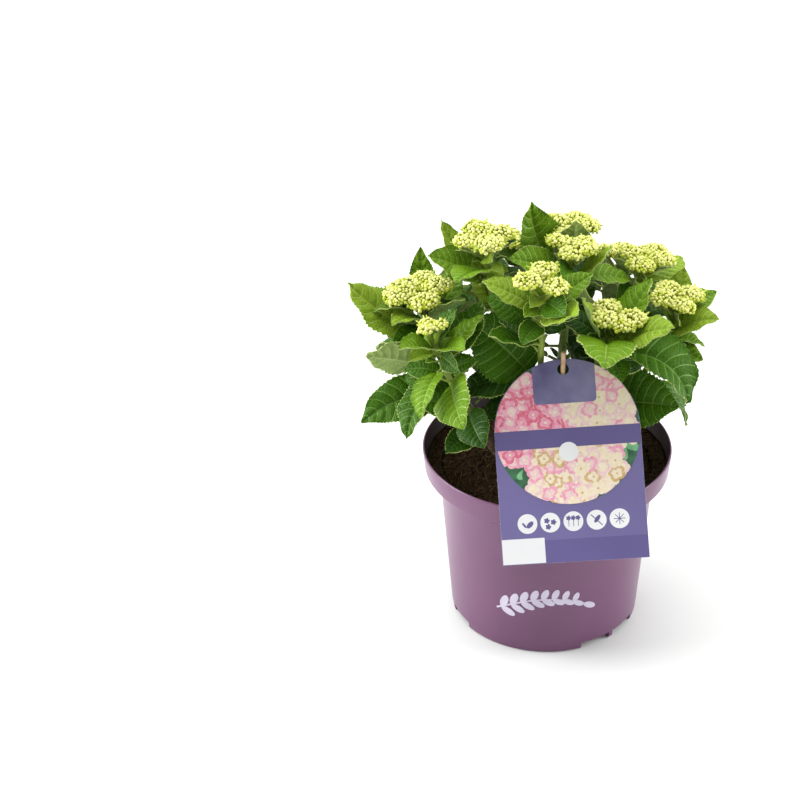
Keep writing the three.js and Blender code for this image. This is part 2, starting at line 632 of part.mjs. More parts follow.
function cardSolid() {
  const half = CARD.width / 2;
  const shape = new THREE.Shape()
    .moveTo(-half, 0)
    .lineTo(half, 0)
    .absarc(0, CARD.length - half, half, 0, Math.PI, false)
    .lineTo(-half, 0);
  const hole = new THREE.Path();
  hole.absarc(0, CARD.length - CARD.holeBelowTop, card.holeRadius, 0, 2 * Math.PI, true);
  shape.holes.push(hole);
  const frame = new THREE.Matrix4().makeBasis(card.across, card.up, card.face).setPosition(card.foot);
  return extruded(shape, CARD.thick, 10).translate(0, 0, -CARD.thick / 2).applyMatrix4(frame);
}

function stickSolid() {
  const foot = card.hole.clone().setZ(SOIL.top + GAP);
  const tip = card.hole.clone().setZ(STICK.top);
  return limb(new THREE.LineCurve3(foot, tip), 0, 1, () => STICK.radius, STICK.sides, 1);
}

const LOOKS = {
  pot: { color: 0x7a5272, roughness: 0.45, metalness: 0 },
  peat: { color: 0x2a1a10, roughness: 0.95, metalness: 0 },
  wood: { color: 0x6b4a2c, roughness: 0.85, metalness: 0 },
  foliage: { color: 0x3f6b1f, roughness: 0.55, metalness: 0 },
  card: { color: 0x6a609a, roughness: 0.35, metalness: 0 },
  stick: { color: 0xc9a983, roughness: 0.8, metalness: 0 },
};

function piece(name, geometry, look) {
  const mesh = new THREE.Mesh(geometry, new THREE.MeshStandardMaterial(LOOKS[look]));
  mesh.name = name;
  return mesh;
}

const hydrangea = new THREE.Group();
hydrangea.add(
  piece("pot", potSolid(), "pot"),
  piece("peat", soilSolid(), "peat"),
  piece("card", cardSolid(), "card"),
  piece("card_stick", stickSolid(), "stick"),
);
for (const plant of growPlant()) {
  hydrangea.add(piece(`stem_${plant.shoot.name}`, woodOf(plant.line), "wood"));
  hydrangea.add(piece(`foliage_${plant.shoot.name}`, foliageOf(plant), "foliage"));
}

export default hydrangea;
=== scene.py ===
# %% [markdown]
# # A bigleaf hydrangea in bud, in its nursery pot
# The plant stands in a round plum-coloured pot, with a picture card hung on a thin stick.
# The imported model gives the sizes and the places. This lesson dresses it, one material at a time.
# All sizes are in millimetres, and each mesh is scaled to metres when it is made.

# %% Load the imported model
import math

import bmesh
import bpy
import numpy as np
from mathutils import Matrix, Vector, noise


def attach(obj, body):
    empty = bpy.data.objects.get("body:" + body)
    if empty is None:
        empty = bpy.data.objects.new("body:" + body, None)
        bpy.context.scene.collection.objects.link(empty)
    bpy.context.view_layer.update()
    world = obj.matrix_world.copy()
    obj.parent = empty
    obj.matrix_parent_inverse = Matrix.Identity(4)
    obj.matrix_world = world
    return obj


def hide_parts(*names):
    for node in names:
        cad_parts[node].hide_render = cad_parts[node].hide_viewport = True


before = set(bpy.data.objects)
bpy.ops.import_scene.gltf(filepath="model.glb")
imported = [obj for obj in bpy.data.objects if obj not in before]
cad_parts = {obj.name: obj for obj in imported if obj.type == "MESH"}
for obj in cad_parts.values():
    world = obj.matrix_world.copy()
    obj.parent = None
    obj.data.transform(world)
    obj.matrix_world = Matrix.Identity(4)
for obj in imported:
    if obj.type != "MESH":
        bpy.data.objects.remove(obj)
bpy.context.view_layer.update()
MM = 0.001

# %% [markdown]
# ## The camera
# The photograph looks down at about thirty degrees from a little over a metre away.
# A long lens keeps the pot's sides nearly parallel. The plant stands right of the middle of the picture,
# so the camera is turned left of it, and it is rolled by about one degree as the photograph is.
# How far aside the plant stands, and the focal length, are given in the picture's own pixels.

# %% Camera
LOOK_DOWN = 29.95
PLANT_ASIDE, FOCAL = 147.5, 1813
ROLL = 1.2
CAMERA_PLACE = (0, -1.19, 0.865)
lens = bpy.data.cameras.new("camera")
lens.lens = 81.6
lens.sensor_width = 36
camera = bpy.data.objects.new("camera", lens)
camera.matrix_world = (
    Matrix.Translation(CAMERA_PLACE)
    @ Matrix.Rotation(math.radians(90 - LOOK_DOWN), 4, "X")
    @ Matrix.Rotation(math.atan(PLANT_ASIDE / FOCAL), 4, "Y")
    @ Matrix.Rotation(math.radians(ROLL), 4, "Z")
)
bpy.context.collection.objects.link(camera)
bpy.context.scene.camera = camera
print("camera looks down", LOOK_DOWN, "degrees")

# %% [markdown]
# ## Helpers for meshes
# Large pieces start from Blender's own mesh operators. Leaves, buds and crumbs number in the hundreds,
# so each kind is worked out once as an array and joined into one mesh.
# The first helper makes any mesh a piece that rides on the body and takes the finishes it is given.
# The second does so for a bmesh, and the third makes one mesh from arrays.

# %% Helpers for meshes
def to_piece(name, mesh, materials, nodes=(), smooth=True):
    """Link a finished mesh as a piece of the model."""
    for material in materials:
        mesh.materials.append(material)
    mesh.polygons.foreach_set("use_smooth", [smooth] * len(mesh.polygons))
    piece = bpy.data.objects.new(name, mesh)
    bpy.context.collection.objects.link(piece)
    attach(piece, "root")
    if nodes:
        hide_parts(*nodes)
    mesh.calc_loop_triangles()
    print(name, "has", len(mesh.loop_triangles), "triangles")
    return piece


def finish_bmesh(bm, name, materials, nodes=(), smooth=True, outward=True):
    """Turn a bmesh in millimetres into a piece in metres, its faces pointing out."""
    bmesh.ops.remove_doubles(bm, verts=bm.verts, dist=1e-4)
    if outward:
        bmesh.ops.recalc_face_normals(bm, faces=bm.faces)
    bmesh.ops.scale(bm, vec=(MM, MM, MM), verts=bm.verts)
    mesh = bpy.data.meshes.new(name)
    bm.to_mesh(mesh)
    bm.free()
    return to_piece(name, mesh, materials, nodes, smooth)


def joined_mesh(name, points, quads, triangles, finishes):
    """One mesh from arrays: points in millimetres, quads and triangles, a material number for each."""
    mesh = bpy.data.meshes.new(name)
    corners = np.repeat([4, 3], [len(quads), len(triangles)])
    flat = np.concatenate([quads.ravel(), triangles.ravel()])
    mesh.vertices.add(len(points))
    mesh.vertices.foreach_set("co", (points * MM).astype(np.float32).ravel())
    mesh.loops.add(len(flat))
    mesh.loops.foreach_set("vertex_index", flat.astype(np.int32))
    mesh.polygons.add(len(corners))
    starts = np.concatenate([[0], np.cumsum(corners)[:-1]])
    mesh.polygons.foreach_set("loop_start", starts.astype(np.int32))
    mesh.polygons.foreach_set("material_index", np.asarray(finishes, np.int32))
    mesh.update(calc_edges=True)
    mesh.validate()
    return mesh


# %% [markdown]
# ## Helpers for finishes
# Nothing on a plant or a nursery pot is one even colour. Every finish here is a Principled shader
# with a colour that drifts between two tones on a noise, and a fine bump at the size of the real grain.
# The noise reads Object coordinates, so it stays put on the piece from every side.

# %% Helpers for finishes
def finish(name, tone, second, rough, drift=60, grain=900, relief=0.15, depth=0.0002, specular=0.5):
    """A Principled finish between two tones, with a grain bump; drift and grain are per metre."""
    material = bpy.data.materials.new(name)
    material.use_nodes = True
    nodes, links = material.node_tree.nodes, material.node_tree.links
    shader = nodes["Principled BSDF"]
    shader.inputs["Roughness"].default_value = rough
    shader.inputs["Specular IOR Level"].default_value = specular
    place = nodes.new("ShaderNodeTexCoord")
    place.name = "place"
    cloud = nodes.new("ShaderNodeTexNoise")
    cloud.inputs["Scale"].default_value = drift
    cloud.inputs["Detail"].default_value = 4
    ramp = nodes.new("ShaderNodeValToRGB")
    ramp.name = "tones"
    ramp.color_ramp.elements[0].position = 0.34
    ramp.color_ramp.elements[1].position = 0.66
    ramp.color_ramp.elements[0].color = (*tone, 1)
    ramp.color_ramp.elements[1].color = (*second, 1)
    links.new(place.outputs["Object"], cloud.inputs["Vector"])
    links.new(cloud.outputs["Fac"], ramp.inputs["Fac"])
    links.new(ramp.outputs["Color"], shader.inputs["Base Color"])
    fine = nodes.new("ShaderNodeTexNoise")
    fine.name = "grain"
    fine.inputs["Scale"].default_value = grain
    fine.inputs["Detail"].default_value = 3
    bump = nodes.new("ShaderNodeBump")
    bump.name = "bump"
    bump.inputs["Strength"].default_value = relief
    bump.inputs["Distance"].default_value = depth
    links.new(place.outputs["Object"], fine.inputs["Vector"])
    links.new(fine.outputs["Fac"], bump.inputs["Height"])
    links.new(bump.outputs["Normal"], shader.inputs["Normal"])
    return material


# %% [markdown]
# ## The shoots
# Each shoot bows out from its woody foot and turns up into a flower head in bud.
# These are the same sizes and the same seeded rule that the solids were grown by,
# so every fine leaf below lies on its plain solid leaf.

# %% The shoots' table
SHOOTS = [
    dict(name="centre", head=(-5, -50, 307), wide=43, lobes=(95, 200, 320), turn=20, blade=62),
    dict(name="low_right", head=(48, -46, 277), wide=42, lobes=(130, 215, 290, 350), turn=330, blade=62),
    dict(name="low_left", head=(-83, -58, 273), wide=25, lobes=(0, 120, 240), turn=130, blade=56),
    dict(name="left", head=(-95, -15, 279), wide=52, lobes=(10, 80, 150, 210, 290), turn=100, blade=62),
    dict(name="upper_left", head=(-48, -5, 318), wide=45, lobes=(20, 110, 185, 290), turn=60, blade=62),
    dict(name="upper", head=(15, 5, 308), wide=40, lobes=(30, 150, 260, 330), turn=10, blade=57),
    dict(name="top", head=(14, 52, 301), wide=46, lobes=(0, 70, 160, 270), turn=170, blade=60),
    dict(name="upper_right", head=(70, 25, 290), wide=45, lobes=(350, 60, 150, 250), turn=50, blade=64),
    dict(name="right", head=(91, -12, 277), wide=42, lobes=(30, 120, 200, 300), turn=80, blade=64),
    dict(name="back_left", head=(-62, 50, 284), wide=44, lobes=(40, 130, 220, 310), turn=120, blade=72),
    dict(name="back", head=(-22, 88, 274), wide=42, lobes=(20, 140, 260), turn=95, blade=72),
    dict(name="back_right", head=(54, 76, 270), wide=42, lobes=(80, 190, 310), turn=60, blade=70),
]
LEADERS = [
    dict(on="left", at=0.8, tip=(-146, -18, 287), wide=0.58, roll=22, bend=-25),
    dict(on="left", at=0.78, tip=(-118, -34, 250), wide=0.66, roll=30, bend=40),
    dict(on="left", at=0.65, tip=(-131, -50, 244), wide=0.6, roll=-62, bend=5),
    dict(on="left", at=0.45, tip=(-138, -34, 178), wide=0.48, roll=35, bend=60),
    dict(on="left", at=0.36, tip=(-82, -26, 184), wide=0.66, roll=25, bend=30),
    dict(on="left", at=0.85, tip=(-96, 24, 297), wide=0.36, roll=10, bend=-60),
    dict(on="left", at=0.9, tip=(-68, 16, 288), wide=0.55, roll=0, bend=-50),
    dict(on="left", at=0.9, tip=(-112, -48, 268), wide=0.55, roll=0, bend=45),
    dict(on="left", at=0.9, tip=(-60, -36, 284), wide=0.55, roll=10, bend=10),
    dict(on="low_left", at=0.93, tip=(-104, -80, 266), wide=0.66, roll=15, bend=30),
    dict(on="low_left", at=0.93, tip=(-58, -80, 266), wide=0.66, roll=-15, bend=30),
    dict(on="low_left", at=0.55, tip=(-97, -64, 212), wide=0.85, roll=35, bend=35),
    dict(on="low_left", at=0.36, tip=(-74, -56, 167), wide=0.7, roll=25, bend=40),
    dict(on="low_left", at=0.85, tip=(-48, -24, 277), wide=0.6, roll=0, bend=-10),
    dict(on="upper_left", at=0.9, tip=(-80, 12, 324), wide=0.42, roll=15, bend=-45),
    dict(on="upper_left", at=0.88, tip=(-88, -16, 308), wide=0.68, roll=20, bend=15),
    dict(on="upper_left", at=0.92, tip=(-66, -46, 302), wide=0.66, roll=0, bend=30),
    dict(on="upper_left", at=0.72, tip=(-102, 12, 300), wide=0.45, roll=40, bend=10),
    dict(on="centre", at=0.92, tip=(-47, -36, 303), wide=0.62, roll=20, bend=10),
    dict(on="centre", at=0.92, tip=(30, -38, 307), wide=0.64, roll=-15, bend=0),
    dict(on="centre", at=0.9, tip=(20, -84, 298), wide=0.6, roll=-20, bend=-10),
    dict(on="centre", at=0.5, tip=(-60, -22, 260), wide=0.78, roll=58, bend=20),
    dict(on="centre", at=0.75, tip=(-42, -74, 275), wide=0.52, roll=5, bend=-10),
    dict(on="centre", at=0.7, tip=(-34, -44, 268), wide=0.6, roll=15, bend=10),
    dict(on="low_right", at=0.92, tip=(12, -64, 256), wide=0.66, roll=32, bend=30),
    dict(on="low_right", at=0.9, tip=(15, -70, 292), wide=0.4, roll=50, bend=-20),
    dict(on="low_right", at=0.9, tip=(38, -106, 268), wide=0.66, roll=0, bend=50),
    dict(on="low_right", at=0.88, tip=(86, -74, 284), wide=0.55, roll=-25, bend=15),
    dict(on="low_right", at=0.84, tip=(72, -22, 296), wide=0.64, roll=0, bend=-10),
    dict(on="low_right", at=0.86, tip=(99, -54, 212), wide=0.62, roll=-15, bend=100),
    dict(on="low_right", at=0.5, tip=(95, -48, 206), wide=0.76, roll=-50, bend=15),
    dict(on="right", at=0.86, tip=(116, -36, 267), wide=0.66, roll=-30, bend=30),
    dict(on="right", at=0.92, tip=(125, 0, 271), wide=0.55, roll=-20, bend=25),
    dict(on="right", at=0.7, tip=(111, -32, 236), wide=0.62, roll=-15, bend=50),
    dict(on="right", at=0.9, tip=(98, 22, 284), wide=0.55, roll=0, bend=-30),
    dict(on="upper", at=0.92, tip=(-30, -14, 306), wide=0.62, roll=25, bend=15),
    dict(on="upper", at=0.92, tip=(44, -4, 312), wide=0.55, roll=-15, bend=-25),
    dict(on="top", at=0.82, tip=(-15, 42, 326), wide=0.62, roll=62, bend=-40),
    dict(on="top", at=0.9, tip=(18, 22, 320), wide=0.58, roll=0, bend=-20),
]
PAIRS = [
    dict(at=0.37, size=0.8, rise=6, bend=46),
    dict(at=0.45, size=0.9, rise=10, bend=54),
    dict(at=0.54, size=1, rise=12, bend=58),
    dict(at=0.64, size=1, rise=16, bend=58),
    dict(at=0.75, size=0.95, rise=20, bend=56),
    dict(at=0.85, size=0.8, rise=26, bend=50),
    dict(at=0.92, size=0.62, rise=30, bend=36),
    dict(at=0.97, size=0.48, rise=36, bend=24),
]
TRIES = [
    (0, 0, 1), (13, 0, 1), (-13, 0, 1), (0, 13, 1), (0, -13, 1), (24, 8, 0.92), (-24, 8, 0.92),
    (22, -12, 0.86), (-22, -12, 0.86), (0, 24, 0.8), (34, 0, 0.72), (-34, 0, 0.72), (0, -22, 0.62),
    (12, 34, 0.66), (-12, 34, 0.66), (44, 12, 0.58), (-44, 12, 0.58), (0, 0, 0.5),
]

# %% Sizes of the shoots, leaves, pot and card
POT = dict(height=144, rim=95, lip=18, lip_under=93.4, neck=82.4, foot=73, wall=1.5, floor=8)
ARCH = dict(height=6, depth=9, reach=20.5, rib=1.5, pairs=3, first_at=-44)
SOIL = dict(top=129, edge=126.8, flat=58)
CARD = dict(width=105, length=146, thick=0.8, lean_back=32, turned_by=5.1, hole_at=(10.6, 231.5),
            hole_below_top=7.5)
STICK = dict(radius=1.7, top=245.5)
GAP = 0.3
FOOT_SHARE = 0.29
STEEP = {"centre": (-6, -12), "low_right": (16, -12)}
BOW_OUT, BOW_STEEP, BOW_UP = 0.62, 0.15, 0.42
HEAD_RISE, HEAD_LEAN = 13, 0.0015
LOBE_RADIUS, LOBE_OUT, LOBE_FLAT = 0.25, 0.27, 0.5
WOOD_SHARE = 0.34
WOOD = dict(foot=5.2, low=4.0, top=3.2)
GREEN = dict(low=2.8, top=2.0)
LEAF = dict(wide=0.64, petiole=0.24, fold=24, camber=0.16)
FACE_OUT = 36
SPREAD = dict(turn=14, rise=8, bend=14, roll=16, twist=26, fold=9, wide=0.05, size=0.09)
CELL, SAMPLE, AIR = 2.2, 1.4, 4
CROWN_MIDDLE = np.array([-12, 12, 225])
CROWN_RADII = np.array([136, 134, 112])
CROWN_LOWEST = 176
CARD_VIEW, HOLE_SIDE, HOLE_OVER = 22, 11, 16
OWN_TOUCH = 0.12
print(len(SHOOTS), "shoots,", len(LEADERS), "leading leaves,", len(PAIRS), "levels of leaf pairs")

# %% Seeded chance
seed = 4711


def draw():
    """The next number between 0 and 1, the same in each run and in the model's own source."""
    global seed
    seed = seed * 16807 % 2147483647
    return seed / 2147483647


def around(middle, reach):
    return middle + (2 * draw() - 1) * reach


def unit(v):
    return v / np.linalg.norm(v)


# %% The line of a shoot
def mix(a, b, share):
    return a + (b - a) * share


def shoot_line(shoot):
    """Foot, bend and hub of the curve, and the way its head faces."""
    head = np.array(shoot["head"], float)
    axis = unit(np.array([head[0] * HEAD_LEAN, head[1] * HEAD_LEAN, 1]))
    hub = head - axis * HEAD_RISE
    steep = STEEP.get(shoot["name"])
    x, y = steep or (head[0] * FOOT_SHARE, head[1] * FOOT_SHARE)
    foot = np.array([x, y, SOIL["top"] + GAP])
    out = BOW_STEEP if steep else BOW_OUT
    bend = np.array([mix(foot[0], hub[0], out), mix(foot[1], hub[1], out), mix(foot[2], hub[2], BOW_UP)])
    return dict(axis=axis, hub=hub, foot=foot, bend=bend)


def on_line(line, t):
    """Points of the shoot's curve, from its foot at 0 to its hub at 1."""
    t = np.asarray(t, float)[..., None]
    return (1 - t) ** 2 * line["foot"] + 2 * (1 - t) * t * line["bend"] + t**2 * line["hub"]


def along_line(line, t):
    """The way the shoot grows at t."""
    t = float(t)
    return unit(on_line(line, min(1, t + 1e-4)) - on_line(line, max(0, t - 1e-4)))


# %% [markdown]
# ## The shape of one leaf
# A hydrangea leaf is a broad oval that narrows to a drawn-out tip. It is folded a little along its midrib
# and droops along its length. The middle line is laid first, then points are placed across it.

# %% The middle line of a leaf
STEPS = 16
LIFT = 6


def outline(along):
    """How wide the blade is, as a share of its widest, from its foot at 0 to its tip at 1."""
    full = 2.76 * along**0.62 * (1 - along) ** 0.88
    return full * (1 - 0.35 * along**8)


def droop(leaf, along):
    """How steeply the midrib rises, in degrees, along the blade."""
    return leaf["rise"] - leaf["bend"] * np.asarray(along, float) ** 1.2


def leaf_frames(leaf, rise, roll):
    """The way on, the way across and the upper side, for arrays of rise and roll in degrees."""
    a, r = np.radians(np.atleast_1d(rise))[:, None], np.radians(np.atleast_1d(roll))[:, None]
    out, up = leaf["out"], leaf["up"]
    side = unit(np.cross(out, up))
    way = out * np.cos(a) + up * np.sin(a)
    face = up * np.cos(a) - out * np.sin(a)
    return way, side * np.cos(r) + face * np.sin(r), face * np.cos(r) - side * np.sin(r)


def spine_of(leaf):
    """The middle line of a leaf, with the way across it and its upper side at each step."""
    petiole = [v[0] for v in leaf_frames(leaf, leaf["rise"] + LIFT, leaf["roll"])]
    start = leaf["root"] + petiole[0] * leaf["blade"] * LEAF["petiole"]
    ends = np.arange(1, STEPS + 1) / STEPS
    ways = leaf_frames(leaf, droop(leaf, ends - 0.5 / STEPS), np.zeros(STEPS))[0]
    at = np.vstack([start, start + np.cumsum(ways * leaf["blade"] / STEPS, axis=0)])
    rise = np.concatenate([[leaf["rise"]], droop(leaf, ends)])
    roll = np.concatenate([[leaf["roll"]], leaf["roll"] + leaf["twist"] * ends])
    _, wide, normal = leaf_frames(leaf, rise, roll)
    return dict(petiole=petiole, at=at, wide=wide, normal=normal)


def chord_of(bend):
    """Length and slope of the straight line from root to tip, for a leaf that starts level."""
    angle = np.radians(-bend * ((np.arange(STEPS) + 0.5) / STEPS) ** 1.2)
    out = LEAF["petiole"] * math.cos(math.radians(LIFT)) + np.cos(angle).sum() / STEPS
    up = LEAF["petiole"] * math.sin(math.radians(LIFT)) + np.sin(angle).sum() / STEPS
    return math.hypot(out, up), math.degrees(math.atan2(up, out))


def blade_points(leaf, spine, along, across):
    """Points of the blade, and the upward direction at each; along 0 to 1, across -1 to 1."""
    place = np.minimum(along, 0.99999) * STEPS
    low = np.floor(place).astype(int)
    share = (place - low)[..., None]

    def between(rows):
        return rows[low] * (1 - share) + rows[low + 1] * share

    half = leaf["blade"] * leaf["wide"] * 0.5 * outline(along)
    fold = np.radians(leaf["fold"] * (1 - 0.4 * along))
    reach = across * half
    lift = np.abs(reach) * np.sin(fold) - LEAF["camber"] * half * across * across
    normal = between(spine["normal"])
    points = between(spine["at"]) + between(spine["wide"]) * (reach * np.cos(fold))[..., None]
    return points + normal * lift[..., None], normal


# %% [markdown]
# ## Keeping the leaves apart
# Space is divided into small cells. A leaf may only grow where no other shoot's leaf is near,
# where none of its own shoot's leaves is already, and where it stays off the pot, the card and the stick.
# If it doesn't fit, it is turned, lifted or made smaller, and after the last try it is left out.

# %% The card's frame
def card_frame():
    """Where the card lies: its foot, hole and three directions."""
    back = math.radians(CARD["lean_back"])
    face = Vector((0, -math.cos(back), math.sin(back)))
    turn = Matrix.Rotation(math.radians(CARD["turned_by"]), 3, face)
    up = turn @ Vector((0, math.sin(back), math.cos(back)))
    across = turn @ Vector((1, 0, 0))
    forward = face.dot(Vector((0, -POT["rim"], POT["height"]))) + GAP + CARD["thick"] / 2
    x, height = CARD["hole_at"]
    hole = Vector((x, (face.z * height - forward) / math.cos(back), height))
    foot = hole + up * (CARD["hole_below_top"] - CARD["length"])
    radius = STICK["radius"] / math.sin(back) + CARD["thick"] / 2 / math.tan(back) + GAP
    return dict(up=up, across=across, face=face, foot=foot, hole=hole, radius=radius)


card = card_frame()
card_axes = {key: np.array(card[key]) for key in ("up", "across", "face", "foot", "hole")}
print("the card's foot is at", [round(v, 1) for v in card["foot"]])

# %% Cells that are taken
SIDE, HALF, SHARED = 184, 200, 255
near, inside, stems = (np.zeros(SIDE**3, np.uint8) for _ in range(3))
NEIGHBOURS = np.array([(z * SIDE + y) * SIDE + x for z in (-1, 0, 1) for y in (-1, 0, 1) for x in (-1, 0, 1)])


def cells_of(points):
    """The number of the cell that each point is in."""
    x = np.floor((points[:, 0] + HALF) / CELL).astype(int)
    y = np.floor((points[:, 1] + HALF) / CELL).astype(int)
    z = np.floor(points[:, 2] / CELL).astype(int)
    return (z * SIDE + y) * SIDE + x


def mark_near(layer, points, owner):
    """Mark the cells of the points and those beside them, or as shared where two owners meet."""
    cells = np.unique(cells_of(points)[:, None] + NEIGHBOURS)
    taken = (layer[cells] != 0) & (layer[cells] != owner)
    layer[cells] = np.where(taken, SHARED, owner)


def take(points, owner):
    mark_near(near, points, owner)
    inside[cells_of(points)] = 1


# %% What a leaf must stay clear of
def meets_pot(p):
    radius = np.hypot(p[:, 0], p[:, 1])
    low_over_lip = (radius < POT["rim"] + AIR) & (p[:, 2] < POT["height"] + AIR)
    return np.where(radius < POT["neck"] - AIR, p[:, 2] < SOIL["top"] + AIR, low_over_lip)


def meets_card(p):
    hole = card_axes["hole"]
    stick = np.hypot(p[:, 0] - hole[0], p[:, 1] - hole[1]) < STICK["radius"] + AIR
    stick &= p[:, 2] < STICK["top"] + AIR
    local = p - card_axes["foot"]
    before, height = local @ card_axes["face"], local @ card_axes["up"]
    aside = np.abs(local @ card_axes["across"])
    hole_view = (aside < HOLE_SIDE) & (height < CARD["length"] + HOLE_OVER)
    beside = (aside > CARD["width"] / 2 + AIR) | (height > CARD["length"] + AIR)
    plate = ~beside & ((before < AIR) | (height < CARD["length"] - CARD_VIEW))
    return stick | (~((before < -AIR) | (height < -AIR)) & (hole_view | plate))


def leaves_crown(p):
    oval = np.linalg.norm((p - CROWN_MIDDLE) / CROWN_RADII, axis=1)
    return (p[:, 2] < CROWN_LOWEST) | (oval > 1)


def fits(leaf, points, owner):
    if (meets_pot(points) | meets_card(points)).any():
        return False
    if not leaf.get("leads") and leaves_crown(points).any():
        return False
    cells = cells_of(points)
    for layer in (near, stems):
        if ((layer[cells] != 0) & (layer[cells] != owner)).any():
            return False
    return inside[cells].sum() <= (OWN_TOUCH * len(points) if leaf.get("leads") else 0)


# %% Placing one leaf
def samples(leaf, spine):
    """The points that stand for a leaf in the cells, the petiole's first."""
    stalk = math.ceil(leaf["blade"] * LEAF["petiole"] / SAMPLE)
    share = (np.arange(1, stalk + 1) / stalk)[:, None]
    petiole = leaf["root"] * (1 - share) + spine["at"][0] * share
    petiole = petiole[np.linalg.norm(petiole - leaf["root"], axis=1) > WOOD["foot"]]
    rows = math.ceil(leaf["blade"] / SAMPLE)
    columns = math.ceil(leaf["blade"] * leaf["wide"] / SAMPLE)
    along, across = np.meshgrid(np.arange(1, rows + 1) / rows, 2 * np.arange(columns + 1) / columns - 1)
    blade, _ = blade_points(leaf, spine, along.ravel(), across.ravel())
    return np.vstack([petiole, blade])


def place_leaf(plant, at, wish):
    """Try a leaf in a few poses, and keep the first that fits."""
    line = plant["line"]
    root = on_line(line, at)
    up = np.array([0, 0, 1.0]) if wish.get("leads") else along_line(line, at)
    for turned, lifted, scaled in TRIES:
        heading = math.radians(wish["turn"] + turned)
        out = np.array([math.cos(heading), math.sin(heading), 0])
        out = unit(out - up * out.dot(up))
        side = np.cross(out, up)
        outside = (side[0] * root[0] + side[1] * root[1]) / math.hypot(root[0], root[1])
        roll = wish["roll"] if wish.get("leads") else wish["roll"] - FACE_OUT * outside
        rise, blade = wish["rise"] + lifted, wish["blade"] * scaled
        leaf = {**wish, "root": root, "out": out, "up": up, "roll": roll, "rise": rise, "blade": blade,
                "place": at}
        spine = spine_of(leaf)
        points = samples(leaf, spine)
        if fits(leaf, points, plant["owner"]):
            take(points, plant["owner"])
            plant["leaves"].append((leaf, spine))
            return


# %% Growing the plant
def lobes_of(shoot, line):
    """Middle and radius of each bud cluster of a flower head."""
    east = unit(np.cross((0, 1, 0), line["axis"]))
    north = np.cross(line["axis"], east)
    lobes = []
    for heading in shoot["lobes"]:
        turn = math.radians(heading + around(0, 8))
        at = line["hub"] + line["axis"] * (HEAD_RISE + around(0, 2))
        at = at + (east * math.cos(turn) + north * math.sin(turn)) * shoot["wide"] * LOBE_OUT
        lobes.append((at, shoot["wide"] * LOBE_RADIUS * around(1, 0.07)))
    return lobes


def grow_plant():
    plants = []
    for index, shoot in enumerate(SHOOTS):
        line = shoot_line(shoot)
        plants.append(dict(shoot=shoot, owner=index + 1, line=line, lobes=lobes_of(shoot, line), leaves=[]))
    steps = np.arange(-1, 1.01, 0.25)
    ball = np.array([(x, y, z) for x in steps for y in steps for z in steps])
    ball = ball[np.linalg.norm(ball, axis=1) <= 1] * (1, 1, LOBE_FLAT)
    for plant in plants:
        mark_near(stems, on_line(plant["line"], np.arange(121) / 120), plant["owner"])
        for at, radius in plant["lobes"]:
            take(ball * radius + at, plant["owner"])
    by_name = {plant["shoot"]["name"]: plant for plant in plants}
    for leader in LEADERS:
        plant = by_name[leader["on"]]
        span = np.array(leader["tip"]) - on_line(plant["line"], leader["at"])
        length, slope = chord_of(leader["bend"])
        rise = math.degrees(math.atan2(span[2], math.hypot(span[0], span[1]))) - slope
        turn = math.degrees(math.atan2(span[1], span[0]))
        twist = around(0, SPREAD["twist"] * 0.5)
        fold = LEAF["fold"] + around(0, SPREAD["fold"])
        blade = np.linalg.norm(span) / length
        place_leaf(plant, leader["at"], {**leader, "leads": True, "turn": turn, "rise": rise, "twist": twist,
                                         "fold": fold, "blade": blade})
    grow_pairs(plants, PAIRS)
    return plants


def grow_pairs(plants, pairs, turned=0):
    """Pairs of leaves, from the top of each shoot down, a quarter turn from pair to pair."""
    for level in range(len(pairs) - 1, -1, -1):
        pair = pairs[level]
        for plant in plants:
            for opposite in (0, 180):
                turn = plant["shoot"]["turn"] + 90 * level + opposite + turned
                wish = dict(turn=turn + around(0, SPREAD["turn"]))
                wish["rise"] = pair["rise"] + around(0, SPREAD["rise"])
                wish["bend"] = pair["bend"] + around(0, SPREAD["bend"])
                wish["roll"] = around(0, SPREAD["roll"])
                wish["twist"] = around(0, SPREAD["twist"])
                wish["fold"] = LEAF["fold"] + around(0, SPREAD["fold"])
                wish["wide"] = LEAF["wide"] + around(0, SPREAD["wide"])
                wish["blade"] = plant["shoot"]["blade"] * pair["size"] * around(1, SPREAD["size"])
                place_leaf(plant, pair["at"], wish)


plants = grow_plant()
print("leaves of the solids:", {p["shoot"]["name"]: len(p["leaves"]) for p in plants})

# %% [markdown]
# ## Young leaves between the large ones
# The solids carry the large leaves only. Here the same rule goes on to smaller ones:
# short pairs in the gaps along the shoots, and a ruff of young leaves under each flower head.
# They use the cells that are still free, which keeps most of them clear of their neighbours.

# %% Young leaves
YOUNG = [
    dict(at=0.79, size=0.46, rise=30, bend=42),
    dict(at=0.87, size=0.42, rise=34, bend=36),
    dict(at=0.93, size=0.36, rise=38, bend=30),
    dict(at=0.96, size=0.34, rise=34, bend=26),
    dict(at=0.98, size=0.3, rise=30, bend=20),
]
for plant in plants:
    plant["large"] = len(plant["leaves"])
grow_pairs(plants, YOUNG, 45)
grow_pairs(plants, YOUNG[2:], 100)
print("young leaves:", sum(len(p["leaves"]) - p["large"] for p in plants))

# %% [markdown]
# ## The look of a leaf
# The blade is quilted: it bulges between the side veins, which run from the midrib forward to the margin.
# The margin is toothed like a saw. Below, the ribs stand out and the green is paler.
# The rows of the mesh follow the side veins, so each vein is a narrow row of faces with a tint of its own.

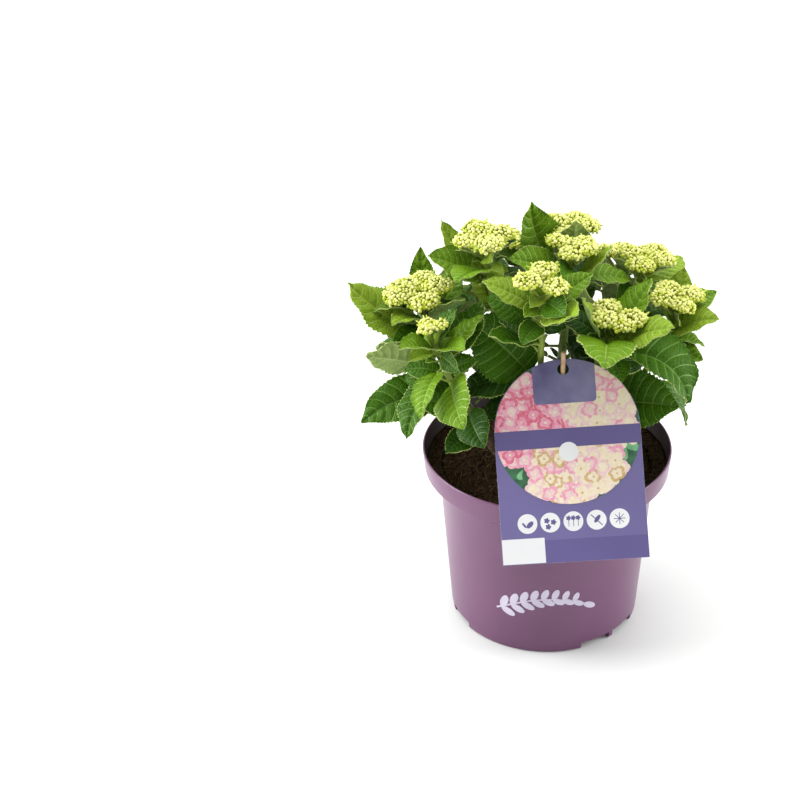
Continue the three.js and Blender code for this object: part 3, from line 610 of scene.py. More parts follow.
# %% The finish of a leaf
def leaf_finish(name, tone, second, rough, relief=0.6):
    """A leaf's green, with a net of fine veins that is paler and a little sunk."""
    material = finish(name, tone, second, rough, 42, 1500, relief, 0.0004, specular=0.12)
    nodes, links = material.node_tree.nodes, material.node_tree.links
    net = nodes.new("ShaderNodeTexVoronoi")
    net.feature = "DISTANCE_TO_EDGE"
    net.inputs["Scale"].default_value = 420
    cells = nodes.new("ShaderNodeMapRange")
    cells.inputs["From Max"].default_value = 0.22
    blend = nodes.new("ShaderNodeMix")
    blend.data_type = "RGBA"
    blend.inputs["A"].default_value = (*[1.12 * v + 0.002 for v in second], 1)
    height = nodes.new("ShaderNodeMath")
    height.operation = "MULTIPLY_ADD"
    height.inputs[1].default_value = 0.35
    links.new(nodes["place"].outputs["Object"], net.inputs["Vector"])
    links.new(net.outputs["Distance"], cells.inputs["Value"])
    links.new(cells.outputs["Result"], blend.inputs["Factor"])
    links.new(nodes["tones"].outputs["Color"], blend.inputs["B"])
    links.new(blend.outputs["Result"], nodes["Principled BSDF"].inputs["Base Color"])
    links.new(nodes["grain"].outputs["Fac"], height.inputs[0])
    links.new(cells.outputs["Result"], height.inputs[2])
    links.new(height.outputs["Value"], nodes["bump"].inputs["Height"])
    return material


# %% Greens of the leaves
# These greens and the vein greens below are partly the leaves' own tones. They are also painted shade low in
# the crown and painted light on its top and outside.
LEAF_GREENS = [
    leaf_finish("deep_leaf_and_painted_shade", (0.008, 0.035, 0.001), (0.018, 0.066, 0.002), 0.34),
    leaf_finish("green_leaf", (0.021, 0.074, 0.001), (0.044, 0.122, 0.002), 0.36),
    leaf_finish("bright_leaf_and_painted_light", (0.066, 0.158, 0.003), (0.118, 0.228, 0.006), 0.40),
    leaf_finish("young_leaf_and_painted_light", (0.140, 0.250, 0.012), (0.215, 0.325, 0.022), 0.44, 0.5),
]
VEIN_GREENS = [
    finish("deep_vein_and_painted_shade", (0.040, 0.108, 0.006), (0.060, 0.140, 0.010), 0.45),
    finish("green_vein", (0.085, 0.190, 0.010), (0.115, 0.230, 0.016), 0.45),
    finish("bright_vein_and_painted_light", (0.210, 0.350, 0.035), (0.255, 0.400, 0.050), 0.45),
    finish("young_vein_and_painted_light", (0.290, 0.420, 0.050), (0.350, 0.480, 0.075), 0.45),
]
UNDERSIDE = leaf_finish("leaf_underside", (0.200, 0.290, 0.080), (0.275, 0.365, 0.115), 0.6, 0.4)
RIB = finish("leaf_rib", (0.340, 0.440, 0.140), (0.410, 0.500, 0.180), 0.55)
MARGIN = finish("leaf_margin", (0.260, 0.360, 0.060), (0.420, 0.500, 0.130), 0.5)
LEAF_FINISHES = LEAF_GREENS + VEIN_GREENS + [UNDERSIDE, RIB, MARGIN]
VEINS_AT, UNDERSIDE_AT, RIB_AT, MARGIN_AT = 4, 8, 9, 10

# %% The grid of one leaf
VEINS = 8
FINE_PARTS, FINE_HALF = [0.05, 0.27, 0.5, 0.73, 0.95], [0.03, 0.12, 0.27, 0.45, 0.63, 0.8, 0.92, 0.972, 1]
PLAIN_PARTS, PLAIN_HALF = [0.06, 0.5, 0.94], [0.04, 0.3, 0.68, 0.95, 1]


def leaf_grid(fine):
    """Rows from the petiole to the tip, columns from edge to edge, and which of them are veins."""
    parts, half = (FINE_PARTS, FINE_HALF) if fine else (PLAIN_PARTS, PLAIN_HALF)
    rows = np.array([(k + f) / (VEINS + 1) for k in range(VEINS + 1) for f in parts])
    bulge = np.array([math.sin(math.pi * f) ** 0.7 for _ in range(VEINS + 1) for f in parts])
    vein = np.array([(i + 1) % len(parts) == 0 for i in range(len(rows) - 1)])
    columns = np.array([-c for c in reversed(half)] + half)
    return rows, bulge, vein, columns


# %% The relief of one leaf
QUILT, GROOVE, RIPPLE, CURL = 0.0175, 0.010, 0.020, 0.045
HALF_THICK = 0.25
TOOTH_OUT, TOOTH_ON = 0.045, 0.006


def toothed(row, column, inner_rows):
    """Move the grid's points forward along the side veins and in and out at the edge, for the teeth."""
    width = np.abs(column)
    along = row + 0.60 * row * (1 - row) * width**1.4
    way = np.where(np.arange(len(row)) % 2 == 0, 1.0, -1.0)[:, None]
    tooth = way * (width > 0.9) * np.where(width > 0.99, 1, 0.3)
    across = column * (1 + TOOTH_OUT * tooth * inner_rows)
    return np.clip(along + TOOTH_ON * tooth * inner_rows, 0.004, 0.996), across


def leaf_relief(blade, row, column, bulge, inner_rows, shade):
    """How far the upper side stands up: the quilt, the midrib's groove, and the wavy, curled edge."""
    width = np.abs(column)
    envelope = np.interp(width, [0, 0.04, 0.2, 0.75, 1], [0, 0.1, 1, 0.85, 0.2])
    uneven = 1 + 0.35 * shade.uniform(-1, 1, (len(row), 1)) + 0.25 * shade.uniform(-1, 1, row.shape)
    towards_ends = np.interp(row, [0, 0.1, 0.8, 1], [0.3, 1, 1, 0.3])
    quilt = QUILT * blade * bulge[:, None] * envelope * uneven * towards_ends
    groove = -GROOVE * blade * (width < 0.05)
    wave = np.sin(row * 19 + shade.uniform(0, 6.28) + 1.7 * np.sign(column))
    edge = RIPPLE * blade * width**3 * wave * inner_rows
    at_edge = np.clip((width - 0.62) / 0.38, 0, 1) ** 2
    edge = edge + shade.uniform(-0.3, 1) * CURL * blade * at_edge * np.sin(np.pi * row) ** 0.6
    return quilt, groove, edge


def ribs_below(blade, row, width, vein):
    """How far the veins stand out of the underside."""
    size = blade / 60
    rib = np.zeros(row.shape)
    rib[np.concatenate([[False], vein]) | np.concatenate([vein, [False]])] = 0.35 * size
    midrib = np.where(width < 0.05, np.interp(row, [0, 1], [1.3, 0.3]) * size, 0)
    return np.maximum(rib, midrib) * (width < 0.95)


# %% One leaf
def leaf_mesh(leaf, spine, fine, tint_and_light):
    """Points, faces and finishes of one closed leaf blade."""
    rows, bulge, vein, columns = leaf_grid(fine)
    blade = leaf["blade"]
    shade = np.random.default_rng(int(blade * 1e4) % 99991)
    row, column = np.meshgrid(rows, columns, indexing="ij")
    width = np.abs(column)
    inner_rows = (row > 0.05) & (row < 0.97)
    points, normal = blade_points(leaf, spine, *toothed(row, column, inner_rows))
    quilt, groove, curled = leaf_relief(blade, row, column, bulge, inner_rows, shade)
    upper = points + normal * (quilt + groove + curled + HALF_THICK)[..., None]
    rib = ribs_below(blade, row, width, vein)
    lower = points + normal * (quilt * 0.9 + curled - HALF_THICK - rib)[..., None]
    count, span = len(rows), len(columns)
    index = np.arange(count * span).reshape(count, span)
    a, b, c, d = index[:-1, :-1], index[:-1, 1:], index[1:, 1:], index[1:, :-1]
    top = np.stack([a, d, c, b], -1).reshape(-1, 4)
    bottom = np.stack([a, b, c, d], -1).reshape(-1, 4) + count * span
    rim = np.concatenate([index[:, 0], index[-1, 1:], index[-2::-1, -1], index[0, -2:0:-1]])
    after = np.roll(rim, -1)
    edge = np.stack([rim, after, after + count * span, rim + count * span], -1)[:, ::-1]
    left, right = width[:-1, :-1], width[:-1, 1:]
    on_vein = (vein[:, None] & (np.maximum(left, right) < 0.95)) | (left + right < 0.1)
    pale = (np.minimum(left, right) > 0.94) & (shade.uniform() < 0.36)
    upper_finish = np.where(pale, MARGIN_AT, np.where(on_vein, VEINS_AT + tint_and_light, tint_and_light)).ravel()
    lower_finish = np.where(on_vein, RIB_AT, UNDERSIDE_AT).ravel()
    faces = np.vstack([top, bottom, edge])[:, ::-1]
    finishes = np.concatenate([upper_finish, lower_finish, np.full(len(edge), MARGIN_AT)])
    return np.vstack([upper.reshape(-1, 3), lower.reshape(-1, 3)]), faces, finishes


# %% Tubes and heaps
def ring_faces(count, sides):
    """Quads between rings of points, and a fan at each end to the two points that follow the rings."""
    index = np.arange(count * sides).reshape(count, sides)
    a, b = index[:-1], np.roll(index[:-1], -1, axis=1)
    d, c = index[1:], np.roll(index[1:], -1, axis=1)
    first, last = index[0], index[-1]
    low, high = np.full(sides, count * sides), np.full(sides, count * sides + 1)
    fans = [np.stack([np.roll(first, -1), first, low], -1), np.stack([last, np.roll(last, -1), high], -1)]
    return np.stack([a, b, c, d], -1).reshape(-1, 4), np.vstack(fans)


def tube_mesh(centres, radii, sides, wide, normal):
    """A closed tube of quads round given centres; wide and normal span its sections."""
    turn = np.arange(sides) * 2 * math.pi / sides
    ring = np.cos(turn)[None, :, None] * wide + np.sin(turn)[None, :, None] * normal
    points = (centres[:, None, :] + ring * np.asarray(radii)[:, None, None]).reshape(-1, 3)
    return np.vstack([points, centres[0], centres[-1]]), *ring_faces(len(centres), sides)


class Heap:
    """Gathers small meshes, quads and triangles apart, to be joined into one piece."""

    def __init__(self):
        self.points, self.count = [], 0
        self.quads, self.quad_finish = [np.empty((0, 4), int)], [np.empty(0, int)]
        self.triangles, self.triangle_finish = [np.empty((0, 3), int)], [np.empty(0, int)]

    def add(self, points, quads=None, triangles=None, finishes=0, caps=0):
        if quads is not None:
            self.quads.append(quads + self.count)
            self.quad_finish.append(np.broadcast_to(finishes, len(quads)))
        if triangles is not None:
            self.triangles.append(triangles + self.count)
            self.triangle_finish.append(np.broadcast_to(caps, len(triangles)))
        self.points.append(points)
        self.count += len(points)

    def size(self):
        return 2 * sum(map(len, self.quads)) + sum(map(len, self.triangles))

    def piece(self, name, materials, slot, nodes=(), smooth=True):
        finishes = np.concatenate(self.quad_finish + self.triangle_finish)
        quads, triangles = np.vstack(self.quads), np.vstack(self.triangles)
        mesh = joined_mesh(name, np.vstack(self.points), quads, triangles, finishes)
        return to_piece(name, mesh, materials, nodes, smooth)


# %% Which green a leaf has, with painted light and shade
SCORES = (202, 242, 272)
CHANCE = 22
UNDER_HEAD, NEAR_HEAD = 0.9, 0.88
UPRIGHT, AT_THE_TOP = 26, 298


def tint_and_painted_light_of(leaf, spine, young):
    """Young leaves are bright of their own. Outer, upright and top leaves get brighter greens as painted
    light; those low in the crown get deeper greens as painted shade.
    """
    foot, tip = spine["at"][0], spine["at"][-1]
    chance = np.random.default_rng(int(leaf["blade"] * 1e5) % 99991).uniform(-CHANCE, CHANCE)
    if young and leaf["place"] > UNDER_HEAD:
        return 3 if chance > 4 else 2
    aside = math.hypot(*(tip - CROWN_MIDDLE)[:2])
    # Height and distance out of the crown stand for the light a leaf gets, as painted light and shade; the
    # chance is the leaves' own spread of tone.
    score = 0.6 * tip[2] + 0.8 * aside + chance
    # The bonuses near a head, for upright leaves and at the top are painted light, as of light shining
    # through those leaves.
    score += 12 * (leaf["place"] > NEAR_HEAD) + 16 * (tip[2] - foot[2] > UPRIGHT) + 30 * (tip[2] > AT_THE_TOP)
    return sum(score >= least for least in SCORES)


# %% Build the leaves
FOLIAGE_NODES = ["foliage_" + shoot["name"] for shoot in SHOOTS]
MOST_FACES = 190000
WIDER, FINE_FROM = 1.12, 36
heaps = [Heap()]
for plant in plants:
    for number, (leaf, spine) in enumerate(plant["leaves"]):
        # The green a leaf takes carries painted light and shade as well as its own tone.
        tint_and_light = tint_and_painted_light_of(leaf, spine, number >= plant["large"])
        wider = {**leaf, "wide": leaf["wide"] * WIDER}
        points, faces, finishes = leaf_mesh(wider, spine, leaf["blade"] > FINE_FROM, tint_and_light)
        if heaps[-1].size() + 2 * len(faces) > MOST_FACES:
            heaps.append(Heap())
        heaps[-1].add(points, quads=faces, finishes=finishes)
for number, heap in enumerate(heaps):
    heap.piece(f"leaves_{number + 1}", LEAF_FINISHES, "foliage", FOLIAGE_NODES if number == 0 else ())

# %% [markdown]
# ## Green stems
# Above the old wood a shoot is green, and thicker at each pair of leaves.
# The leaf stalks are a little flattened, and each joins its shoot at a node.

# %% Green stems and leaf stalks
STEM_GREEN = finish("green_stem", (0.150, 0.215, 0.022), (0.235, 0.320, 0.040), 0.5, 140, 700, 0.3)
STALK_GREEN = finish("leaf_stalk", (0.205, 0.300, 0.036), (0.290, 0.395, 0.062), 0.5, 90, 700, 0.2)
green = Heap()
for plant in plants:
    line = plant["line"]
    share = np.linspace(WOOD_SHARE - 0.01, 1, 44)
    places = np.array([leaf["place"] for leaf, _ in plant["leaves"]])
    swell = np.exp(-((share[:, None] - places) / 0.012) ** 2).max(axis=1)
    radii = mix(GREEN["low"], GREEN["top"], share) * (1 + 0.22 * swell)
    ways = np.array([along_line(line, t) for t in share])
    first = np.cross((0, 1, 0), ways)
    first /= np.linalg.norm(first, axis=1)[:, None]
    second = np.cross(ways, first)
    points, quads, caps = tube_mesh(on_line(line, share), radii, 12, first[:, None], second[:, None])
    green.add(points, quads, caps)
    for leaf, spine in plant["leaves"]:
        _, wide, normal = spine["petiole"]
        share = np.linspace(0, 1, 6)
        centres = leaf["root"] + (spine["at"][0] - leaf["root"]) * share[:, None]
        radii = (0.55 + 0.45 * min(1, leaf["blade"] / 60)) * (1.35 + 0.75 * (1 - share) ** 3)
        points, quads, caps = tube_mesh(centres, radii, 8, normal * 0.9, wide * 1.1)
        green.add(points, quads, caps, 1, 1)
green.piece("green_stems", [STEM_GREEN, STALK_GREEN], "foliage")

# %% [markdown]
# ## Flower heads in bud
# A head is a flat cushion of a few clusters. Each cluster carries dozens of round buds on short stalks,
# cream at the top and lime below, with shaded gaps between. Buds sunk into a cluster and round its lower rim
# are more often lime, as painted shade. One small bud is worked out as an array and repeated
# on a sunflower spiral over each cluster. A low green bed closes the gaps from below.

# %% Finishes of the buds
CREAM_BUD = finish("cream_bud", (0.620, 0.650, 0.150), (0.810, 0.800, 0.320), 0.5, 300, 2500, 0.15)
# Lime is the buds' own green below. It is also laid as painted shade on buds sunk into a cluster and round
# its lower rim.
LIME_BUD_AND_SHADE = finish("lime_bud_and_painted_shade", (0.400, 0.490, 0.030), (0.600, 0.640, 0.070), 0.5, 300, 2500, 0.15)
SEPAL = finish("sepal", (0.400, 0.490, 0.040), (0.540, 0.600, 0.075), 0.5, 300, 2500, 0.2)
BUD_STALK = finish("bud_stalk", (0.230, 0.310, 0.030), (0.320, 0.400, 0.050), 0.55, 200, 1500, 0.2)
BUD_BED = finish("bud_bed", (0.200, 0.250, 0.010), (0.360, 0.400, 0.025), 0.7, 700, 1500, 0.5, 0.0006)

# %% One bud
BUD_SIDES = 6
BUD_RINGS = [(-0.75, 0.62), (-0.05, 1.0), (0.62, 0.74)]
BUD_ENDS = [(0, 0, -1.1), (0, 0, 0.95)]
turns = np.arange(BUD_SIDES) * 2 * math.pi / BUD_SIDES
BUD_POINTS = np.array([(r * math.cos(t), r * math.sin(t), z) for z, r in BUD_RINGS for t in turns] + BUD_ENDS)
BUD_QUADS, BUD_TRIANGLES = ring_faces(len(BUD_RINGS), BUD_SIDES)
print("one bud has", 2 * len(BUD_QUADS) + len(BUD_TRIANGLES), "triangles")

# %% Laying a bud
DEEP_IN = 0.66


def frame_round(way):
    """Two directions square to a way."""
    first = unit(np.cross(way, (0.31, 0.87, 0.39)))
    return first, np.cross(way, first)


def lay_bud(heap, place, out, size, tones, stretch=(1, 1, 1)):
    """Add one bud at a place, its tip towards out; tones are the finishes of its low and high half."""
    first, second = frame_round(out)
    points = BUD_POINTS @ np.array([first * stretch[0], second * stretch[1], out * stretch[2]]) * size + place
    heap.add(points, BUD_QUADS, BUD_TRIANGLES, np.repeat(tones, BUD_SIDES), np.repeat(tones, BUD_SIDES))


def in_another(place, lobes, own):
    """Whether a place lies well inside another cluster of the head."""
    others = [lobe for number, lobe in enumerate(lobes) if number != own]
    return any(np.linalg.norm(place - at) < DEEP_IN * radius for at, radius in others)


# %% The bed and the stout stalk of a cluster
KNOBS = 6


def lay_bed(axis, hub, at, radius):
    """A stalk from the hub to the cluster, and a ring of knobs and a middle one under its buds."""
    centres = np.linspace(hub - axis * 5, at - axis * radius * 0.35, 5)
    first, second = frame_round(unit(centres[-1] - centres[0]))
    points, quads, caps = tube_mesh(centres, np.linspace(1.5, 1.2, 5), 8, first, second)
    stalks.add(points, quads, caps)
    east, north = frame_round(axis)
    for knob in range(KNOBS + 1):
        turn, middle = knob * 2 * math.pi / KNOBS, knob == KNOBS
        way = (east * math.cos(turn) + north * math.sin(turn)) * 0.52 * (not middle)
        lift = chance.uniform(-0.12, 0.02) + 0.14 * middle
        shape = BUD_POINTS @ np.array([east, north, axis * 0.5]) * radius * 0.4
        bed.add(shape + at + (way + axis * lift) * radius, BUD_QUADS, BUD_TRIANGLES)


# %% The buds of a cluster
GOLDEN = math.pi * (3 - math.sqrt(5))
BUDS_PER_AREA = 0.86
DOME = LOBE_FLAT - 0.04


def lay_cluster(buds, plant, own, at, radius):
    """Buds on a spiral over a low dome, bunched by noise, with a few sepals round the rim."""
    axis = plant["line"]["axis"]
    east, north = frame_round(axis)
    count = int(BUDS_PER_AREA * radius**2)
    lift = 31.0 * own + 7.0 * plant["owner"]
    for k in range(count):
        polar = math.acos(1 - 1.36 * (k + 0.5) / count)
        turn = k * GOLDEN
        flat = east * math.cos(turn) + north * math.sin(turn)
        bunch = noise.noise(Vector(flat * math.sin(polar) * 2.6 + axis * lift))
        reach = radius * (0.95 + 0.20 * bunch + chance.uniform(-0.07, 0.07))
        place = at + (flat * math.sin(polar) + axis * math.cos(polar) * DOME) * reach
        place = place + chance.uniform(-0.45, 0.45, 3)
        if in_another(place, plant["lobes"], own):
            continue
        upright = flat * math.sin(polar) * 0.8 + axis * (0.35 + math.cos(polar))
        out = unit(upright + chance.uniform(-0.3, 0.3, 3))
        # Buds sunk into the cluster and round its lower rim are more often lime: painted shade on top of the
        # buds' own green.
        lime = chance.uniform() < 0.16 + 0.5 * (polar > 1.3) - 0.5 * bunch
        lay_bud(buds, place, out, chance.uniform(1.05, 1.75), [1, 1 if lime else 0])
        if polar > 1.1 and chance.uniform() < 0.2:
            point = unit(flat + axis * chance.uniform(0.1, 0.9))
            lay_bud(buds, place + point * 1.4, point, chance.uniform(0.8, 1.2), [2, 2], (0.95, 0.5, 2.3))
        start = at - axis * radius * 0.2 + flat * radius * 0.15
        first, second = frame_round(unit(place - start))
        points, quads, _ = tube_mesh(np.array([start, place]), [0.45, 0.5], 3, first, second)
        stalks.add(points, quads)


# %% Build the flower heads
LOBE_SHARE, FULL_HEAP = 0.88, 150000
chance = np.random.default_rng(83)
bud_heaps, stalks, bed = [Heap()], Heap(), Heap()
for plant in plants:
    if bud_heaps[-1].size() > FULL_HEAP:
        bud_heaps.append(Heap())
    for own, (at, full_radius) in enumerate(plant["lobes"]):
        radius = full_radius * LOBE_SHARE
        lay_bed(plant["line"]["axis"], plant["line"]["hub"], at, radius)
        lay_cluster(bud_heaps[-1], plant, own, at, radius)
for number, buds in enumerate(bud_heaps):
    buds.piece(f"buds_{number + 1}", [CREAM_BUD, LIME_BUD_AND_SHADE, SEPAL], "foliage")
stalks.piece("bud_stalks", [BUD_STALK], "foliage")
bed.piece("bud_beds", [BUD_BED], "foliage")

# %% [markdown]
# ## Old wood
# The foot of each shoot is brown and ridged, with flaky bark. A cone operator makes a smooth post,
# which is cut into rings, laid along the shoot's curve and pushed in and out by noise.
# These pieces take the place of the plain stems of the model.

# %% Bark
BARK = finish("bark", (0.090, 0.052, 0.028), (0.210, 0.140, 0.085), 0.88, 260, 900, 0.7, 0.0006)


def woody_foot(plant):
    """The brown foot of one shoot, in place of its plain stem."""
    line = plant["line"]
    bm = bmesh.new()
    bmesh.ops.create_cone(bm, cap_ends=True, segments=20, radius1=1, radius2=1, depth=1)
    upright = [e for e in bm.edges if abs(e.verts[0].co.z - e.verts[1].co.z) > 0.5]
    bmesh.ops.subdivide_edges(bm, edges=upright, cuts=44, use_grid_fill=True)
    lift = 37.0 * plant["owner"]
    for v in bm.verts:
        along = v.co.z + 0.5
        share = along * WOOD_SHARE
        way = along_line(line, share)
        first = unit(np.cross((0, 1, 0), way))
        second = np.cross(way, first)
        flare = (WOOD["foot"] - WOOD["low"]) * (1 - along) ** 6
        radius = mix(WOOD["low"], WOOD["top"], along) + flare
        turn = math.atan2(v.co.y, v.co.x)
        ridges = noise.noise(Vector((2.6 * math.cos(turn), 2.6 * math.sin(turn) + lift, along * 5)))
        flakes = noise.noise(Vector((6 * math.cos(turn), 6 * math.sin(turn) + lift, along * 22)))
        radius = radius * (0.94 + 0.14 * ridges + 0.07 * flakes)
        ring = first * math.cos(turn) + second * math.sin(turn)
        place = on_line(line, share) + ring * radius
        if along == 0:
            place[2] = SOIL["top"] + GAP
        v.co = place
    name = plant["shoot"]["name"]
    return finish_bmesh(bm, "bark_" + name, [BARK], ["stem_" + name])


for plant in plants:
    woody_foot(plant)

# %% [markdown]
# ## The pot
# A grower's pot is blown or moulded from thin plastic: a tapered wall, a wide upright lip,
# and arches at the foot that let water out. One profile is spun round the axis,
# its corners are rounded with a bevel, and the arches are cut with a Boolean.

# %% Plum plastic
PLUM = finish("plum_plastic", (0.130, 0.048, 0.112), (0.150, 0.058, 0.130), 0.32, 14, 2600, 0.12, 0.00012)
# The second finish paints the inside of the pot near black, as painted shade in its hollow.
PLUM_INSIDE_PAINTED_SHADE = finish("plum_inside_painted_shade", (0.018, 0.006, 0.010), (0.028, 0.011, 0.015),
                   0.62, 30, 1400, 0.3, 0.0003)

# %% Spin the pot
def spun(profile, steps, corners=0.0):
    """Spin a profile of (radius, height) round the upright axis; corners is the bevel in millimetres."""
    bm = bmesh.new()
    verts = [bm.verts.new((r, 0, z)) for r, z in profile]
    edges = [bm.edges.new(pair) for pair in zip(verts, verts[1:])]
    bmesh.ops.spin(bm, geom=verts + edges, cent=(0, 0, 0), axis=(0, 0, 1), angle=2 * math.pi,
                   steps=steps, use_merge=True)
    bmesh.ops.remove_doubles(bm, verts=bm.verts, dist=1e-3)
    bmesh.ops.recalc_face_normals(bm, faces=bm.faces)
    if corners:
        level = [e for e in bm.edges if abs(e.verts[0].co.z - e.verts[1].co.z) < 1e-4]
        sharp = [e for e in level if len(e.link_faces) == 2 and e.verts[0].co.xy.length > 5
                 and e.calc_face_angle(0) > 0.2]
        bmesh.ops.bevel(bm, geom=sharp, offset=corners, segments=3, profile=0.5, affect="EDGES", material=-1)
    return bm


INWARDS_AT, LEDGE_AT = -0.3, 0.3
WALL_TOP = 1.8
neck = POT["height"] - POT["lip"]


def wall_radius(height):
    """The outer radius of the tapered wall at a height."""
    return mix(POT["foot"], POT["neck"], height / (neck - WALL_TOP))


profile = [
    (0, 0), (POT["foot"] - 1.2, 0), (POT["foot"], 1.2),
    *[(wall_radius(z), z) for z in (8, 9, 60)], (POT["neck"], neck - WALL_TOP),
    (POT["lip_under"] - 1.6, neck - 0.4), (POT["lip_under"], neck + 1.2), (POT["rim"], POT["height"] - 1),
    (POT["rim"] - 0.5, POT["height"]), (POT["rim"] - POT["wall"], POT["height"]),
    (POT["lip_under"] - POT["wall"] - 0.6, neck + 3), (POT["neck"] - POT["wall"], neck + 1),
    (POT["foot"] - POT["wall"], POT["floor"]), (0, POT["floor"]),
]
bm = spun(profile, 176, 0.35)
bm.normal_update()
# Inward faces and the inner ledge take the second finish, which is painted shade.
for face in bm.faces:
    middle, normal = face.calc_center_median(), face.normal
    inwards = middle.xy.dot(normal.xy) < INWARDS_AT * middle.xy.length
    ledge = normal.z > LEDGE_AT and POT["floor"] < middle.z < POT["height"] - 2
    face.material_index = int(inwards or ledge)
pot = finish_bmesh(bm, "nursery_pot", [PLUM, PLUM_INSIDE_PAINTED_SHADE], ["pot"])

# %% Cutting with a Boolean
def as_cutter(bm):
    """Link a bmesh in millimetres as a tool to cut with."""
    bmesh.ops.scale(bm, vec=(MM, MM, MM), verts=bm.verts)
    mesh = bpy.data.meshes.new("cutter")
    bm.to_mesh(mesh)
    bm.free()
    cutter = bpy.data.objects.new("cutter", mesh)
    bpy.context.collection.objects.link(cutter)
    return cutter


def cut(piece, cutter):
    """Apply a Boolean difference and throw the cutter away."""
    boolean = piece.modifiers.new("cut", "BOOLEAN")
    boolean.object, boolean.operation, boolean.solver = cutter, "DIFFERENCE", "EXACT"
    bpy.context.view_layer.objects.active = piece
    bpy.ops.object.modifier_apply(modifier=boolean.name)
    bpy.data.objects.remove(cutter)


# %% Cut the drain arches
def turned(degrees):
    return Matrix.Rotation(math.radians(degrees), 3, "Z")


def arch_cutter(middle, side):
    """A curved block that cuts one arch, on one side of the rib between a pair."""
    bm = bmesh.new()
    inner, outer, top = POT["foot"] - ARCH["depth"], POT["foot"] + 5, ARCH["height"]
    section = [(inner, -2), (outer, -2), (outer, top), (inner, top)]
    face = bm.faces.new([bm.verts.new((x, 0, z)) for x, z in section])
    bmesh.ops.rotate(bm, verts=bm.verts, cent=(0, 0, 0), matrix=turned(middle + side * ARCH["rib"]))
    made = bmesh.ops.extrude_face_region(bm, geom=[face])
    far = [v for v in made["geom"] if isinstance(v, bmesh.types.BMVert)]
    bmesh.ops.rotate(bm, verts=far, cent=(0, 0, 0), matrix=turned(side * ARCH["reach"]))
    across = [e for e in bm.edges if (e.verts[0] in far) != (e.verts[1] in far)]
    bmesh.ops.subdivide_edges(bm, edges=across, cuts=8)
    for v in bm.verts:
        v.co.xy = v.co.xy.normalized() * (inner if v.co.xy.length < POT["foot"] - 4 else outer)
    bmesh.ops.recalc_face_normals(bm, faces=bm.faces)
    return as_cutter(bm)


for pair in range(ARCH["pairs"]):
    for side in (-1, 1):
        cut(pot, arch_cutter(ARCH["first_at"] + 360 / ARCH["pairs"] * pair, side))
pot.data.set_sharp_from_angle(angle=math.radians(35))
print("the pot has", len(pot.data.polygons), "faces")

# %% [markdown]
# ## A printed sprig
# The pot carries a pale print on its front, a plain sprig of leaves. Flat leaf shapes
# are drawn on a sheet, given a hair's thickness, and then wrapped round the tapered wall.

# %% Flat shapes
def placed(x, y, heading, points):
    """Turn points drawn along the x axis to a heading, and move them to x, y."""
    c, s = math.cos(heading), math.sin(heading)
    return [(x + a * c - b * s, y + a * s + b * c) for a, b in points]


def petal(x, y, heading, length, width, steps=8):
    """The outline of a rounded petal or leaf that starts at x, y."""
    turn = np.arange(steps) * 2 * math.pi / steps
    return placed(x, y, heading, zip(length * (0.5 - 0.5 * np.cos(turn)), width * 0.5 * np.sin(turn)))


def bar(x, y, heading, length, width):
    """The outline of a thin bar that starts at x, y."""
    return placed(x, y, heading, rectangle(0, -width / 2, length, width / 2))


def rectangle(x0, y0, x1, y1):
    return [(x0, y0), (x1, y0), (x1, y1), (x0, y1)]


def disc(x, y, radius, steps=48):
    turn = np.arange(steps) * 2 * math.pi / steps
    return [(x + radius * math.cos(t), y + radius * math.sin(t)) for t in turn]


def plate(bm, outline_points, low, high, material=0):
    """Extrude a flat outline from low to high."""
    face = bm.faces.new([bm.verts.new((x, y, low)) for x, y in outline_points])
    face.material_index = material
    made = bmesh.ops.extrude_face_region(bm, geom=[face])
    top = [v for v in made["geom"] if isinstance(v, bmesh.types.BMVert)]
    bmesh.ops.translate(bm, verts=top, vec=(0, 0, high - low))


def wrap_on_pot(bm, middle):
    """Bend what is drawn flat (x along the wall, y up, z off the wall) round the pot."""
    for v in bm.verts:
        x, height, off = v.co
        radius = wall_radius(height) + off
        turn = math.radians(middle) + x / radius
        v.co = (radius * math.cos(turn), radius * math.sin(turn), height)


# %% The print on the pot
LILAC_PRINT = finish("lilac_print", (0.520, 0.470, 0.600), (0.600, 0.550, 0.670), 0.45, 60, 2000, 0.1)
SPRIG = dict(half=34, low=38, arch=15, faces=-92, under=-0.4, stem=0.3, leaf=0.35)
bm = bmesh.new()
reach = SPRIG["half"]
stem = [(x, SPRIG["low"] + SPRIG["arch"] * math.sin((x + reach) / (2 * reach) * 2.6))
        for x in range(-reach, reach + 1, 4)]
for (x0, y0), (x1, y1) in zip(stem, stem[1:]):
    heading, length = math.atan2(y1 - y0, x1 - x0), math.hypot(x1 - x0, y1 - y0)
    plate(bm, bar(x0, y0, heading, length * 1.15, 1.3), SPRIG["under"], SPRIG["stem"])
leaves = [petal(x, y, 0.35 + side * 0.85, 12.5 - 0.5 * k, 6.2 - 0.2 * k, 12)
          for k, (x, y) in enumerate(stem[1:-1:2]) for side in (-1, 1)]
for shape in leaves + [petal(*stem[-1], -0.5, 11, 5.4, 12)]:
    plate(bm, shape, SPRIG["under"], SPRIG["leaf"])
bmesh.ops.recalc_face_normals(bm, faces=bm.faces)
wrap_on_pot(bm, SPRIG["faces"])
finish_bmesh(bm, "pot_print", [LILAC_PRINT], smooth=False)

# %% [markdown]
# ## Peat
# The pot is filled with dark peat, a little mounded, with lumps and pale fibres.
# The surface is spun, pushed up and down by noise, and strewn with crumbs and fibres from arrays.

